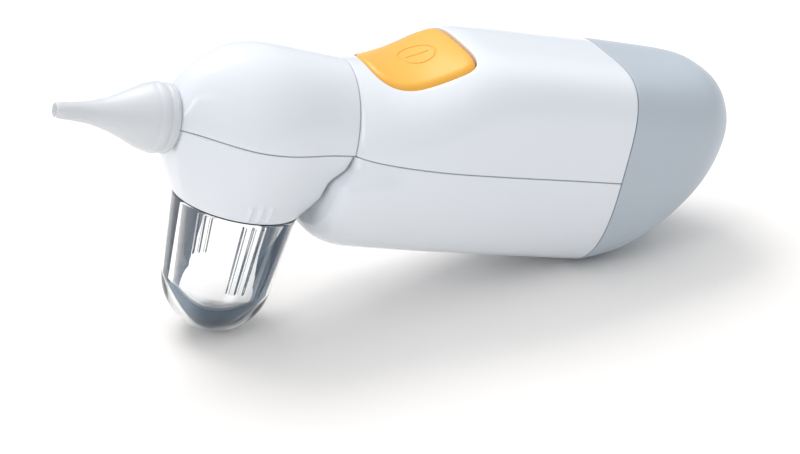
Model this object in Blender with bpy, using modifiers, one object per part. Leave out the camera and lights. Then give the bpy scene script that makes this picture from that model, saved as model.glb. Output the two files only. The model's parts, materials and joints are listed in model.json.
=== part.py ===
"""Battery nasal aspirator, built as an assembly of separate pieces.

All sizes are millimetres, in the device's own frame: u runs from the nose tip to the rear along
the tip's axis, v is sideways and w is up, with w = 0 on the parting line of the casings and
u = 0 on the axis of the collection cup. One empty holds that frame. It is pitched nose-up, the way
the device stands on its cup and on the rear of its underside, and it puts z = 0 on the floor.
"""
import math

import bmesh
import bpy
from mathutils import Vector

MM = 0.001
GAP = 0.3
HALF_GAP = GAP / 2

# Stance
PITCH = math.radians(16.5)
STAND_HEIGHT = 49.64
STAND_CENTRE = 36.95

# Tip and nozzle
TIP_END = 49.0
TIP_BASE = 21.3
TIP_OUTER = [(49.0, 1.7), (48.6, 2.0), (44.6, 2.15), (40.3, 2.75), (36.0, 4.0), (33.1, 5.15),
             (30.3, 6.5), (27.6, 7.7), (25.2, 8.3), (24.3, 7.9), (23.3, 8.2), (21.3, 7.8)]
TIP_INNER = [(21.3, 4.95), (29.8, 4.35), (33.5, 2.9), (38.0, 1.7), (49.0, 1.4)]
NOZZLE_RADIUS = 7.4
NOZZLE_FACE = -21.0
SPIGOT_RADIUS = 4.6
SPIGOT_BORE = 2.6

# Head
HEAD_WALL = 1.8
HEAD_REAR = 19.4
HEAD_HALF_WIDTH = [(-21.0, 7.3), (-16.7, 10.0), (-11.7, 14.3), (-5.4, 18.2), (0.3, 19.0),
                   (6.6, 18.1), (13.6, 16.2), (19.7, 15.7)]
HEAD_TOP = [(-21.0, 7.4), (-19.0, 11.3), (-16.7, 13.7), (-12.5, 16.9), (-8.0, 18.8), (-1.0, 19.6),
            (7.1, 18.9), (12.3, 18.4), (17.7, 17.8), (19.7, 17.6)]
COLLAR_RIM = -18.4
COLLAR_RADIUS = 15.3
COLLAR_BORE = 13.9
FLARE_POWER_SIDE = 1.4
FLARE_POWER_FRONT = 2.0

# Collection cup and its seal
CUP_TOP_RADIUS = 15.0
CUP_LOW_RADIUS = 12.9
CUP_DOME_START = -39.5
CUP_BOTTOM = -51.2
CUP_WALL = 3.0
NECK_RADIUS = 13.6
NECK_BORE = 12.3
NECK_TOP = -11.5
RIB_U = -0.9
RIB_PITCH = 2.3
RIB_TOP = -19.4
RIB_LOW = -37.2
BAFFLE_LEVEL = -9.1

# Handle outer form: each curve is (u, value)
HANDLE_FRONT = 19.7
HANDLE_REAR = 87.8
HANDLE_WALL = 2.0
HANDLE_HALF_WIDTH = [(19.7, 15.7), (20.6, 16.8), (23.1, 18.7), (28.7, 20.6), (35.9, 21.9), (43.5, 22.5),
                     (54.2, 22.4), (76.6, 21.6), (87.8, 21.4)]
HANDLE_LOW_HALF_WIDTH = [(19.7, 18.2), (20.6, 20.0), (23.1, 21.0), (28.7, 21.6), (35.9, 22.1),
                         (43.5, 22.5), (54.2, 22.4), (76.6, 21.6), (87.8, 21.4)]
HANDLE_TOP = [(19.7, 17.6), (27.0, 17.7), (33.0, 18.7), (38.0, 20.5), (42.0, 22.6), (47.0, 24.7),
              (51.0, 25.3), (60.0, 25.2), (87.8, 24.8)]
HANDLE_BOTTOM = [(19.7, 21.6), (20.6, 23.6), (23.1, 25.5), (26.0, 26.2), (87.8, 26.2)]
HANDLE_TOP_POWER = [(19.7, 2.0), (26.0, 2.1), (36.0, 2.6), (50.0, 3.4), (60.0, 4.0), (87.8, 4.0)]
CHIN_REACH = [(19.7, 3.5), (20.6, 3.4), (23.1, 2.6), (28.7, 0.8), (35.9, 0.0), (87.8, 0.0)]
LOW_POWER = 2.6
FLAT_CUT = 0.7
UNDERSIDE = 25.5
CHIN_TOP = 1.5
CHIN_BLEND = 7.5
ARC_ABOVE = (0, 8, 18, 28, 38, 48, 58, 68, 79, 90 - 0.001)
ARC_BELOW = (0, 2.5, 5.5, 9, 14, 20, 28, 38, 50, 62, 72, 81)

# Battery cover: (top u, top w, bottom u, bottom w, half-width, middle w) at each rib
COVER_FRONT = HANDLE_REAR + GAP
COVER_RIBS = [(88.1, 24.8, 88.1, 26.2, 21.4, 0.0), (95.5, 24.7, 91.5, 25.3, 21.4, 0.0),
              (102.1, 24.8, 95.0, 24.3, 21.4, 0.0), (107.4, 25.0, 98.5, 22.4, 21.4, 0.4),
              (111.0, 24.9, 101.8, 19.6, 21.0, 1.5), (113.6, 24.3, 105.3, 16.2, 20.2, 3.0),
              (115.9, 23.3, 109.3, 12.4, 18.5, 4.6), (118.2, 21.4, 113.7, 8.1, 15.7, 6.4),
              (120.6, 17.8, 117.6, 3.2, 11.6, 8.2), (122.6, 13.6, 121.0, -2.6, 6.2, 8.7)]
COVER_END = (123.4, 8.7)
COVER_WALL = 2.6
LIP_LENGTH = 3.5

# Power button, in a frame that lies along the slope of the handle's top
BUTTON_CENTRE = (37.3, 0.0, 20.3)
BUTTON_SLOPE = math.radians(17.6)
BUTTON_SHIFT = -1.3
BUTTON_HALF_LENGTH = 12.4
BUTTON_HALF_WIDTH = 13.15
BUTTON_TAPER = 0.075
BUTTON_PROUD = 0.1
BUTTON_UNDER = -3.3
WELL_FLOOR = -4.1
WELL_UNDER = -5.4
BUTTON_TRAVEL = 0.6
BOARD_TOP = -9.8
BOARD_THICKNESS = 1.6
SWITCH_X = 2.0
BOARD_SCREW_X = 14.0

# Motor and pump
MOTOR_W = -2.0
MOTOR_RADIUS = 10.0
MOTOR_FRONT = 42.3
MOTOR_REAR = 55.7
END_CAP_REAR = 58.2
SHAFT_RADIUS = 1.0
CRANK_U = 36.0
CRANK_THROW = 1.5
CRANK_RADIUS = 4.0
ROD_FOOT = -14.3
PUMP_HALF_LENGTH = 8.2
PUMP_HALF_WIDTH = 8.8
VALVE_V = 3.2
PORT_W = 5.0
PORT_RADIUS = 3.2
BARB_U = 24.8
BARB_RADIUS = 1.6
BARB_BORE = 0.9
HOSE_OUTER = 2.7
HOSE_INNER = 1.9

# Batteries: two AA cells side by side
CELL_RADIUS = 7.1
CELL_LENGTH = 49.0
CELL_V = 7.8
CELL_W = 3.0
CELL_BORE = 7.4
TRAY_FRONT = 58.8
TRAY_REAR = 87.0
TRAY_HALF_HEIGHT = 8.9
CONTACT_FRONT = 61.1
CONTACT_REAR = 114.2
CONTACT_THICKNESS = 0.6
CONTACT_SIDE = 2.7
CONTACT_HALF_HEIGHT = 3.5
CELL_FLAT_FRONT = 63.7
CELL_FLAT_REAR = 112.0
PUMP_BOTTOM = -22.4
CHANNEL_W = -21.3

WHITE = (0.87, 0.89, 0.91)
COOL_GREY = (0.42, 0.46, 0.50)
AMBER = (0.98, 0.52, 0.08)
STEEL = (0.62, 0.63, 0.64)
COPPER = (0.80, 0.42, 0.22)


def sign(value):
    return math.copysign(1.0, value)


def ease(t):
    """Smooth step from 0 to 1 as t goes from 0 to 1."""
    t = min(max(t, 0.0), 1.0)
    return t * t * (3.0 - 2.0 * t)


def along(points, x):
    """Value at x of a smooth curve through (x, y) points that never overshoots them."""
    x = min(max(x, points[0][0]), points[-1][0])
    slopes = [(b[1] - a[1]) / (b[0] - a[0]) for a, b in zip(points, points[1:])]
    tangents = [slopes[0]]
    for before, after in zip(slopes, slopes[1:]):
        same_way = before * after > 0.0
        tangents.append(2.0 * before * after / (before + after) if same_way else 0.0)
    tangents.append(slopes[-1])
    i = max(k for k in range(len(slopes)) if points[k][0] <= x)
    (x0, y0), (x1, y1) = points[i], points[i + 1]
    span = x1 - x0
    t = (x - x0) / span
    rise = t * t * (3.0 - 2.0 * t)
    lead = t * (1.0 - t) ** 2 * tangents[i] * span
    tail = t * t * (1.0 - t) * tangents[i + 1] * span
    return y0 + (y1 - y0) * rise + lead - tail


def spread(start, end, count):
    """Evenly spaced values from start to end, both included."""
    return [start + (end - start) * i / (count - 1) for i in range(count)]


# ---------------------------------------------------------------- scene and helpers

def clear_scene():
    for obj in list(bpy.data.objects):
        bpy.data.objects.remove(obj, do_unlink=True)


def new_collection(name):
    collection = bpy.data.collections.new(name)
    bpy.context.scene.collection.children.link(collection)
    return collection


def new_empty(name, location, rotation=(0.0, 0.0, 0.0), parent=None):
    empty = bpy.data.objects.new(name, None)
    empty.location = Vector(location) * MM
    empty.rotation_euler = rotation
    empty.parent = parent
    PARTS.objects.link(empty)
    return empty


def material(name, color, roughness=0.4, metallic=0.0, transmission=0.0):
    mat = bpy.data.materials.new(name)
    mat.use_nodes = True
    shader = mat.node_tree.nodes["Principled BSDF"]
    shader.inputs["Base Color"].default_value = (*color, 1.0)
    shader.inputs["Roughness"].default_value = roughness
    shader.inputs["Metallic"].default_value = metallic
    shader.inputs["Transmission Weight"].default_value = transmission
    mat.diffuse_color = (*color, 1.0)
    return mat


def place(obj, mat, parent=None, location=(0.0, 0.0, 0.0), direction=None):
    """Put an object in the device's frame, with its local z along direction; no material = cutter."""
    obj.parent = parent or FRAME
    obj.location = Vector(location) * MM
    if direction:
        obj.rotation_euler = Vector((0, 0, 1)).rotation_difference(Vector(direction)).to_euler()
    if mat:
        obj.data.materials.append(mat)
        PARTS.objects.link(obj)
    else:
        obj.hide_render = True
        obj.display_type = 'WIRE'
        CUTTERS.objects.link(obj)
    return obj


def from_bmesh(name, bm, smooth_angle=35.0):
    mesh = bpy.data.meshes.new(name)
    bmesh.ops.recalc_face_normals(bm, faces=bm.faces)
    bm.to_mesh(mesh)
    bm.free()
    mesh.shade_smooth()
    mesh.set_sharp_from_angle(angle=math.radians(smooth_angle))
    return bpy.data.objects.new(name, mesh)


def box(name, mat, low, high, parent=None):
    bm = bmesh.new()
    bmesh.ops.create_cube(bm, size=1.0)
    centre = (Vector(low) + Vector(high)) / 2
    size = Vector(high) - Vector(low)
    for vert in bm.verts:
        vert.co = Vector(a * b for a, b in zip(vert.co, size)) * MM
    return place(from_bmesh(name, bm), mat, parent, centre)


def rod(name, mat, start, end, radius, sides=20, end_radius=None, parent=None):
    """Cylinder, or cone, from start to end."""
    start, end = Vector(start), Vector(end)
    bm = bmesh.new()
    bmesh.ops.create_cone(bm, cap_ends=True, segments=sides, radius1=radius * MM,
                          radius2=(end_radius or radius) * MM, depth=(end - start).length * MM)
    return place(from_bmesh(name, bm), mat, parent, (start + end) / 2, end - start)


def turned(name, mat, profile, location=(0, 0, 0), direction=(0, 0, 1), steps=28, parent=None):
    """Solid of revolution: (radius, height) points that run down the outer side, top to bottom."""
    mesh = bpy.data.meshes.new(name)
    count = len(profile)
    closed = profile[0][0] > 0.0
    edges = [(i, i + 1) for i in range(count - 1)] + ([(count - 1, 0)] if closed else [])
    mesh.from_pydata([(r * MM, 0.0, z * MM) for r, z in profile], edges, [])
    obj = bpy.data.objects.new(name, mesh)
    screw = obj.modifiers.new("turn", 'SCREW')
    screw.steps = steps
    screw.render_steps = steps
    screw.use_merge_vertices = True
    screw.merge_threshold = 0.00001
    screw.use_smooth_shade = True
    return place(obj, mat, parent, location, direction)


def lofted(name, mat, rings, end_pole=None, arc_start=False, parent=None):
    """Closed skin over rings of equal length, closed at the end by a face or a pole.

    With arc_start the rings are half sections, and the first one is closed by strips between its
    two sides, so that a bent end stays smooth.
    """
    bm = bmesh.new()
    grid = [[bm.verts.new(Vector(p) * MM) for p in ring] for ring in rings]
    for ring, after in zip(grid, grid[1:]):
        for i in range(len(ring)):
            j = (i + 1) % len(ring)
            bm.faces.new((ring[i], ring[j], after[j], after[i]))
    first, last = grid[0], grid[-1]
    if arc_start:
        for i in range(len(first) // 2 - 1):
            bm.faces.new((first[i], first[i + 1], first[-i - 2], first[-i - 1]))
    else:
        bm.faces.new(first)
    if end_pole:
        tip = bm.verts.new(Vector(end_pole) * MM)
        for i in range(len(last)):
            bm.faces.new((last[i], last[(i + 1) % len(last)], tip))
    else:
        bm.faces.new(last)
    return place(from_bmesh(name, bm), mat, parent)


def extruded(name, mat, outline, low, high, parent=None):
    """Flat outline of (x, y) points, raised from z = low to z = high."""
    return lofted(name, mat, [[(x, y, z) for x, y in outline] for z in (low, high)], parent=parent)


def wire(name, mat, points, radius, resolution=1):
    """Round wire through the points."""
    curve = bpy.data.curves.new(name, 'CURVE')
    curve.dimensions = '3D'
    curve.bevel_depth = radius * MM
    curve.bevel_resolution = resolution
    curve.render_resolution_u = 0
    curve.use_fill_caps = True
    spline = curve.splines.new('POLY')
    spline.points.add(len(points) - 1)
    for slot, point in zip(spline.points, points):
        slot.co = (*(Vector(point) * MM), 1.0)
    return place(bpy.data.objects.new(name, curve), mat)


def combine(obj, other, operation):
    boolean = obj.modifiers.new(other.name, 'BOOLEAN')
    boolean.operation = operation
    boolean.object = other
    boolean.solver = 'EXACT'
    return obj


def cut(obj, *cutters):
    for cutter in cutters:
        combine(obj, cutter, 'DIFFERENCE')
    return obj


def join(obj, *others):
    for other in others:
        combine(obj, other, 'UNION')
    return obj


def curved_route(points, steps=4):
    """Smooth path through the given points (Catmull-Rom)."""
    points = [Vector(p) for p in points]
    ends = [2 * points[0] - points[1]] + points + [2 * points[-1] - points[-2]]
    path = []
    for a, b, c, d in zip(ends, ends[1:], ends[2:], ends[3:]):
        for k in range(steps):
            t = k / steps
            path.append(0.5 * (2 * b + (c - a) * t + (2 * a - 5 * b + 4 * c - d) * t * t
                               + (3 * b - a - 3 * c + d) * t ** 3))
    return path + [points[-1]]


def hollow_tube(name, mat, path, outer, inner, sides=8):
    """Round tube with an open bore along a path that runs mostly downwards."""
    def rings(radius):
        found = []
        for i, point in enumerate(path):
            run = (path[min(i + 1, len(path) - 1)] - path[max(i - 1, 0)]).normalized()
            side = run.cross(Vector((0, 1, 0))).normalized()
            up = side.cross(run)
            found.append([point + radius * (math.cos(a) * side + math.sin(a) * up)
                          for a in spread(0, 2 * math.pi, sides + 1)[:-1]])
        return found
    tube = lofted(name, mat, rings(outer))
    path = [path[0] * 2 - path[1]] + path[1:-1] + [path[-1] * 2 - path[-2]]
    return cut(tube, lofted(name + "_bore", None, rings(inner)))


def coil(radius, start, end, turns, per_turn=9):
    """Points of a helix about z, from height start to height end."""
    count = int(turns * per_turn) + 1
    return [(radius * math.cos(2 * math.pi * i / per_turn), radius * math.sin(2 * math.pi * i / per_turn),
             start + (end - start) * i / (count - 1)) for i in range(count)]


# ---------------------------------------------------------------- casing forms

def face_shift(w):
    """How far the chin has come forward at height w: 0 above it, 1 at its full reach."""
    return ease((-w - CHIN_TOP) / CHIN_BLEND)


def handle_arc(u, side, inset=0.0, overrun=0.0):
    """Half section of the handle above (side 1) or below (side -1) the parting line."""
    half = along(HANDLE_HALF_WIDTH, u) - inset
    low_half = along(HANDLE_LOW_HALF_WIDTH, u) - inset
    depth = along(HANDLE_TOP if side > 0 else HANDLE_BOTTOM, u) - inset
    power = along(HANDLE_TOP_POWER, u) if side > 0 else LOW_POWER
    points = []
    quarter = [math.radians(a) for a in (ARC_ABOVE if side > 0 else ARC_BELOW)]
    for angle in quarter + [math.pi - a for a in reversed(quarter)]:
        across = sign(math.cos(angle)) * abs(math.cos(angle)) ** (2.0 / power)
        w = side * depth * math.sin(angle) ** (2.0 / power)
        w = max(w, inset - UNDERSIDE)
        width = half + (low_half - half) * ease(-w / CHIN_BLEND)
        w = max(w, HALF_GAP) if side > 0 else min(w, -HALF_GAP)
        points.append((u - along(CHIN_REACH, u) * face_shift(w), width * across, w))
    if overrun:
        first, last = points[0], points[-1]
        points = [(first[0], first[1], -side * overrun)] + points + [(last[0], last[1], -side * overrun)]
    return points


def handle_shell(name, mat, side):
    stations = [19.7, 20.2, 21.0, 23.1, 26.0, 29.0, 33.0, 37.0, 41.0, 45.0, 49.0, 53.0, 60.0, 74.0, 87.8]
    shell = lofted(name, mat, [handle_arc(u, side) for u in stations], arc_start=True)
    inner = [21.7, 23.1, 26.0, 30.0, 35.0, 40.0, 45.0, 50.0, 60.0, 87.8]
    hollow = [handle_arc(u, side, HANDLE_WALL, 1.0) for u in inner]
    end = [(u + 3.0, v, w) for u, v, w in hollow[-1]]
    return cut(shell, lofted(name + "_hollow", None, hollow + [end], arc_start=True))


def head_arc(u, inset=0.0, count=18, overrun=0.0):
    half = along(HEAD_HALF_WIDTH, u) - inset
    top = along(HEAD_TOP, u) - inset
    points = [(u, half * math.cos(a), max(top * math.sin(a), HALF_GAP)) for a in spread(0, math.pi, count)]
    if overrun:
        points = [(u, half, -overrun)] + points + [(u, -half, -overrun)]
    return points


def plan_radius(angle):
    """Distance from the cup's axis to the head's outline on the parting plane."""
    cosine, sine = math.cos(angle), abs(math.sin(angle))
    low, high = 0.0, 30.0
    for _ in range(40):
        middle = (low + high) / 2
        u = middle * cosine
        outside = u > HEAD_REAR or u < NOZZLE_FACE or middle * sine > along(HEAD_HALF_WIDTH, u)
        low, high = (low, middle) if outside else (middle, high)
    return low


def head_low_ring(w, inset=0.0, count=32):
    """Level section of the head below the parting line, from its plan outline down to the collar."""
    drop = min(max(w / COLLAR_RIM, 0.0), 1.0)
    rear = HEAD_REAR - (CHIN_REACH[0][1] + 0.6) * face_shift(w)
    ring = []
    for angle in spread(0, 2 * math.pi, count + 1)[:-1]:
        front = max(-math.cos(angle), 0.0)
        power = FLARE_POWER_SIDE + (FLARE_POWER_FRONT - FLARE_POWER_SIDE) * front
        radius = COLLAR_RADIUS + (plan_radius(angle) - COLLAR_RADIUS) * (1.0 - drop ** power)
        if math.cos(angle) > 0.1:
            radius = min(radius, max(rear, COLLAR_RADIUS) / math.cos(angle))
        radius -= inset
        ring.append((radius * math.cos(angle), radius * math.sin(angle), w))
    return ring


def cover_ring(rib, inset=0.0, count=28):
    """Leaning section of the battery cover between a point on its top and one on its underside."""
    top_u, top_w, low_u, low_w, half, middle = rib
    progress = ease((top_u - COVER_FRONT) / (COVER_RIBS[-1][0] - COVER_FRONT))
    top_power = 4.0 + (2.2 - 4.0) * progress
    ring = []
    for angle in spread(0, 2 * math.pi, count + 1)[:-1]:
        rise = math.sin(angle)
        power = top_power if rise >= 0 else LOW_POWER + (2.2 - LOW_POWER) * progress
        lift = sign(rise) * abs(rise) ** (2.0 / power)
        across = sign(math.cos(angle)) * abs(math.cos(angle)) ** (2.0 / power)
        w = middle + lift * ((top_w - middle if rise >= 0 else low_w + middle) - inset)
        w = max(w, FLAT_CUT - low_w + inset)
        lean = (top_w - w) / (top_w + low_w)
        ring.append((top_u + (low_u - top_u) * lean, (half - inset) * across, w))
    return ring


# ---------------------------------------------------------------- head pieces

def make_silicone_tip():
    outer = [(r, z) for z, r in TIP_OUTER]
    inner = [(r, z) for z, r in TIP_INNER]
    turned("silicone_tip", SILICONE, outer + inner, direction=(-1, 0, 0), steps=24)


def make_nozzle_spigot():
    """Stub that the tip is pushed on, with a flange held inside the head."""
    profile = [(3.9, 29.4), (4.1, 29.0), (SPIGOT_RADIUS, 21.5), (SPIGOT_RADIUS, 18.2), (6.0, 18.2),
               (6.0, 16.9), (SPIGOT_RADIUS, 16.9), (SPIGOT_RADIUS, 13.0), (SPIGOT_BORE, 13.0),
               (SPIGOT_BORE, 29.4)]
    turned("nozzle_spigot", GLOSS_WHITE, profile, direction=(-1, 0, 0), steps=18)


def make_head_shells():
    spigot_hole = rod("spigot_hole", None, (-23, 0, 0), (-15, 0, 0), SPIGOT_RADIUS + GAP, 24)
    port_hole = rod("head_port_hole", None, (14, 0, PORT_W), (23, 0, PORT_W), PORT_RADIUS + GAP, 20)
    stations = [-21.0, -20.0, -18.5, -16.7, -14.5, -12.0, -9.0, -5.5, -2.0, 2.0, 6.5, 11.0, 15.5, HEAD_REAR]
    upper = lofted("head_upper_shell", GLOSS_WHITE, [head_arc(u) for u in stations])
    inner = [-19.3, -18.0, -16.0, -13.0, -9.5, -5.5, -1.0, 4.0, 10.0, HEAD_REAR - HEAD_WALL]
    hollow = lofted("head_upper_hollow", None, [head_arc(u, HEAD_WALL, 14, 1.0) for u in inner])
    cut(upper, hollow, spigot_hole, port_hole)

    levels = [-HALF_GAP, -2.0, -3.7, -5.4, -7.6, -10.0, -13.0, -16.0, COLLAR_RIM]
    lower = lofted("head_lower_shell", GLOSS_WHITE, [head_low_ring(w) for w in levels])
    inner_levels = [1.0, -2.0, -5.0, -8.0, -10.5]
    inner_rings = [head_low_ring(w, HEAD_WALL, 24) for w in inner_levels]
    seat = rod("collar_bore", None, (0, 0, -9.9), (0, 0, -20), COLLAR_BORE, 36)
    cut(lower, lofted("head_lower_hollow", None, inner_rings), seat, spigot_hole)
    collar_ribs(lower)


def collar_ribs(shell):
    for side in (-1, 1):
        for k in (-1, 0, 1):
            u = RIB_U + RIB_PITCH * k
            edge = math.sqrt(COLLAR_RADIUS ** 2 - u * u)
            rib = box(f"collar_rib_{side}_{k}", None, (u - 0.35, side * edge - 0.6, -17.8),
                      (u + 0.35, side * edge + 0.6, -13.5))
            join(shell, rib)


def make_splash_baffle():
    """Plate above the cup: the drop tube sends fluid down, and air leaves by the window."""
    plate = rod("splash_baffle", GLOSS_WHITE,
                (0, 0, BAFFLE_LEVEL - 0.6), (0, 0, BAFFLE_LEVEL + 0.6), 13.3, 32)
    join(plate, rod("drop_tube", None, (-4, 0, BAFFLE_LEVEL), (-4, 0, -16.5), 4.0, 20))
    cut(plate, rod("drop_bore", None, (-4, 0, BAFFLE_LEVEL + 2), (-4, 0, -18.0), 3.0, 20),
        box("air_window", None, (5.0, -4.0, BAFFLE_LEVEL - 2), (9.0, 4.0, BAFFLE_LEVEL + 2)))


def make_cup():
    turned("cup_seal", RUBBER, [(NECK_RADIUS, -10.2), (NECK_RADIUS, -11.2), (NECK_BORE, -11.2),
                                (NECK_BORE, -10.2)], steps=24)
    dome_depth = CUP_DOME_START - CUP_BOTTOM
    outer = [(NECK_RADIUS, NECK_TOP), (NECK_RADIUS, COLLAR_RIM - GAP), (CUP_TOP_RADIUS, COLLAR_RIM - GAP),
             (CUP_TOP_RADIUS, -19.6)]
    outer += [(CUP_LOW_RADIUS * math.cos(a), CUP_DOME_START - dome_depth * math.sin(a))
              for a in spread(0, math.pi / 2, 8)]
    low_bore = CUP_LOW_RADIUS - CUP_WALL
    inner = [(low_bore * math.cos(a), CUP_DOME_START - (dome_depth - CUP_WALL) * math.sin(a))
             for a in spread(math.pi / 2, 0, 7)]
    outer[-1] = (0.0, CUP_BOTTOM)
    inner[0] = (0.0, CUP_BOTTOM + CUP_WALL)
    cup = turned("collection_cup", CLEAR, inner + [(NECK_BORE, -19.0), (NECK_BORE, NECK_TOP)] + outer,
                 steps=26)
    taper = (CUP_TOP_RADIUS - CUP_LOW_RADIUS) / (CUP_DOME_START + 19.6)
    for side in (-1, 1):
        for k in (-1, 0, 1):
            u = RIB_U + RIB_PITCH * k
            ends = []
            for w in (RIB_LOW, RIB_TOP):
                edge = math.sqrt((CUP_TOP_RADIUS + taper * (-19.6 - w)) ** 2 - u * u)
                sides = (side * (edge - 0.9), side * (edge + 0.3))
                ends.append([(u - 0.35, sides[0], w), (u + 0.35, sides[0], w),
                             (u + 0.35, sides[1], w), (u - 0.35, sides[1], w)])
            join(cup, lofted(f"cup_rib_{side}_{k}", None, ends))


# ---------------------------------------------------------------- handle pieces

def button_outline(margin=0.0, count=36):
    """Rounded rectangle, squarer and a little wider at the rear, in the slope's own plane."""
    points = []
    for angle in spread(0, 2 * math.pi, count + 1)[:-1]:
        power = 5.0 if math.cos(angle) > 0 else 3.2
        x = sign(math.cos(angle)) * abs(math.cos(angle)) ** (2.0 / power)
        y = sign(math.sin(angle)) * abs(math.sin(angle)) ** (2.0 / power) * (1.0 + BUTTON_TAPER * x)
        points.append((BUTTON_SHIFT + x * (BUTTON_HALF_LENGTH + margin), y * (BUTTON_HALF_WIDTH + margin)))
    return points


def make_power_button():
    raised = [handle_arc(u, 1, -BUTTON_PROUD) for u in spread(21.0, 56.0, 14)]
    crown = lofted("button_crown", None, raised)
    button = extruded("power_button", AMBER_PLASTIC, button_outline(-GAP), BUTTON_UNDER, 6.0, parent=SLOPE)
    combine(button, crown, 'INTERSECT')
    spring_seat = turned("spring_seat", None, [(6.4, -1.4), (6.4, -5.0), (3.4, -5.0), (3.4, -1.4)],
                         parent=SLOPE, steps=20)
    cut(button, spring_seat)
    spring = wire("button_spring", SPRING_STEEL, coil(4.9, -3.5, -1.8, 2.0), 0.3)
    spring.parent = SLOPE


def make_handle_shells():
    upper = handle_shell("handle_upper_shell", GLOSS_WHITE, 1)
    lower = handle_shell("handle_lower_shell", GLOSS_WHITE, -1)
    form = lofted("well_limit", None, [handle_arc(u, 1, 0.6) for u in spread(21.0, 60.0, 16)])
    well = extruded("button_well", None, button_outline(GAP + 1.2), WELL_UNDER, 8.0, parent=SLOPE)
    combine(well, form, 'INTERSECT')
    pocket = extruded("button_pocket", None, button_outline(), WELL_FLOOR, 9.0, parent=SLOPE)
    plunger_hole = rod("plunger_hole", None, (SWITCH_X, 0, -8), (SWITCH_X, 0, 0), 2.0, 16, parent=SLOPE)
    wall_hole = rod("port_wall_hole", None, (18, 0, PORT_W), (23, 0, PORT_W), PORT_RADIUS + GAP, 20)
    seal_seat = rod("seal_seat", None, (18, 0, PORT_W), (21.1, 0, PORT_W), 5.25, 24)
    join(upper, well)
    cut(upper, pocket, plunger_hole, wall_hole, seal_seat)
    for name, v in (("left", -14.6), ("right", 14.6)):
        shell_screw(name, v, upper, lower)
    for v in (-9.0, 9.0):
        board_boss(v, upper)
    tray_low = CELL_W - TRAY_HALF_HEIGHT
    for u, held in ((50.0, MOTOR_W - MOTOR_RADIUS), (66.0, tray_low), (82.0, tray_low)):
        join(lower, box(f"cradle_rib_{int(u)}", None,
                        (u - 0.8, -7.0, 1.0 - UNDERSIDE), (u + 0.8, 7.0, held - GAP)))


def board_boss(v, upper):
    low = BOARD_TOP + GAP
    join(upper, rod(f"board_boss_{v}", None, (BOARD_SCREW_X, v, low), (BOARD_SCREW_X, v, -0.8), 2.3, 12,
                    parent=SLOPE))
    cut(upper, rod(f"board_pilot_{v}", None, (BOARD_SCREW_X, v, low - 1), (BOARD_SCREW_X, v, -6.2), 1.1, 10,
                   parent=SLOPE))


def shell_screw(name, v, upper, lower):
    """Boss in each shell and the screw that draws them together from below."""
    u = 28.5
    join(upper, rod("upper_boss_" + name, None, (u, v, GAP), (u, v, 9.0), 2.6, 14))
    cut(upper, rod("upper_pilot_" + name, None, (u, v, -1), (u, v, 7.0), 1.3, 12))
    join(lower, rod("lower_boss_" + name, None, (u, v, -20.0), (u, v, -GAP), 3.4, 16))
    cut(lower, rod("screw_way_" + name, None, (u, v, -19), (u, v, 1), 1.4, 12),
        rod("head_way_" + name, None, (u, v, -27), (u, v, -13.9), 2.6, 16))
    turned("shell_screw_" + name, SPRING_STEEL,
           [(0.0, 6.0), (1.0, 6.0), (1.0, -14.2), (2.2, -14.2), (2.2, -15.6), (1.9, -16.0), (0.0, -16.0)],
           location=(u, v, 0), steps=12)


def make_suction_port():
    """Tube through the front wall, with a barb inside that points down to the hose."""
    wall = 22.0
    port = rod("suction_port", GLOSS_WHITE, (15.2, 0, PORT_W), (28.4, 0, PORT_W), PORT_RADIUS, 20)
    join(port, rod("port_flange", None, (wall, 0, PORT_W), (wall + 1.2, 0, PORT_W), 4.7, 20),
         rod("port_barb", None, (BARB_U, 0, PORT_W), (BARB_U, 0, -3.4), BARB_RADIUS, 12))
    cut(port, rod("port_bore", None, (14, 0, PORT_W), (27.0, 0, PORT_W), 2.2, 16),
        rod("barb_bore", None, (BARB_U, 0, PORT_W), (BARB_U, 0, -5.0), BARB_BORE, 10))
    ring = [(4.45 + 0.5 * math.cos(a), 20.4 + 0.5 * math.sin(a)) for a in spread(math.pi, -math.pi, 7)[:-1]]
    turned("port_seal", RUBBER, ring, location=(0, 0, PORT_W), direction=(1, 0, 0), steps=16)


def make_switch_and_board():
    under = BOARD_TOP - BOARD_THICKNESS
    board = box("circuit_board", BOARD_GREEN, (-5.0, -11.0, under), (17.0, 11.0, BOARD_TOP), SLOPE)
    for v in (-9.0, 9.0):
        cut(board, rod(f"board_hole_{v}", None, (BOARD_SCREW_X, v, under - 1),
                       (BOARD_SCREW_X, v, BOARD_TOP + 1), 1.2, 10, parent=SLOPE))
    body_low, body_top = BOARD_TOP + GAP, -6.3
    body = box("switch_body", BLACK_PLASTIC,
               (SWITCH_X - 3, -3, body_low), (SWITCH_X + 3, 3, body_top), SLOPE)
    cut(body, rod("switch_bore", None, (SWITCH_X, 0, -8.0), (SWITCH_X, 0, -5), 1.8, 14, parent=SLOPE))
    rod("switch_plunger", BLACK_PLASTIC, (SWITCH_X, 0, -7.1), (SWITCH_X, 0, BUTTON_UNDER - GAP), 1.5, 14,
        parent=SLOPE)


# ---------------------------------------------------------------- motor and pump

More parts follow.
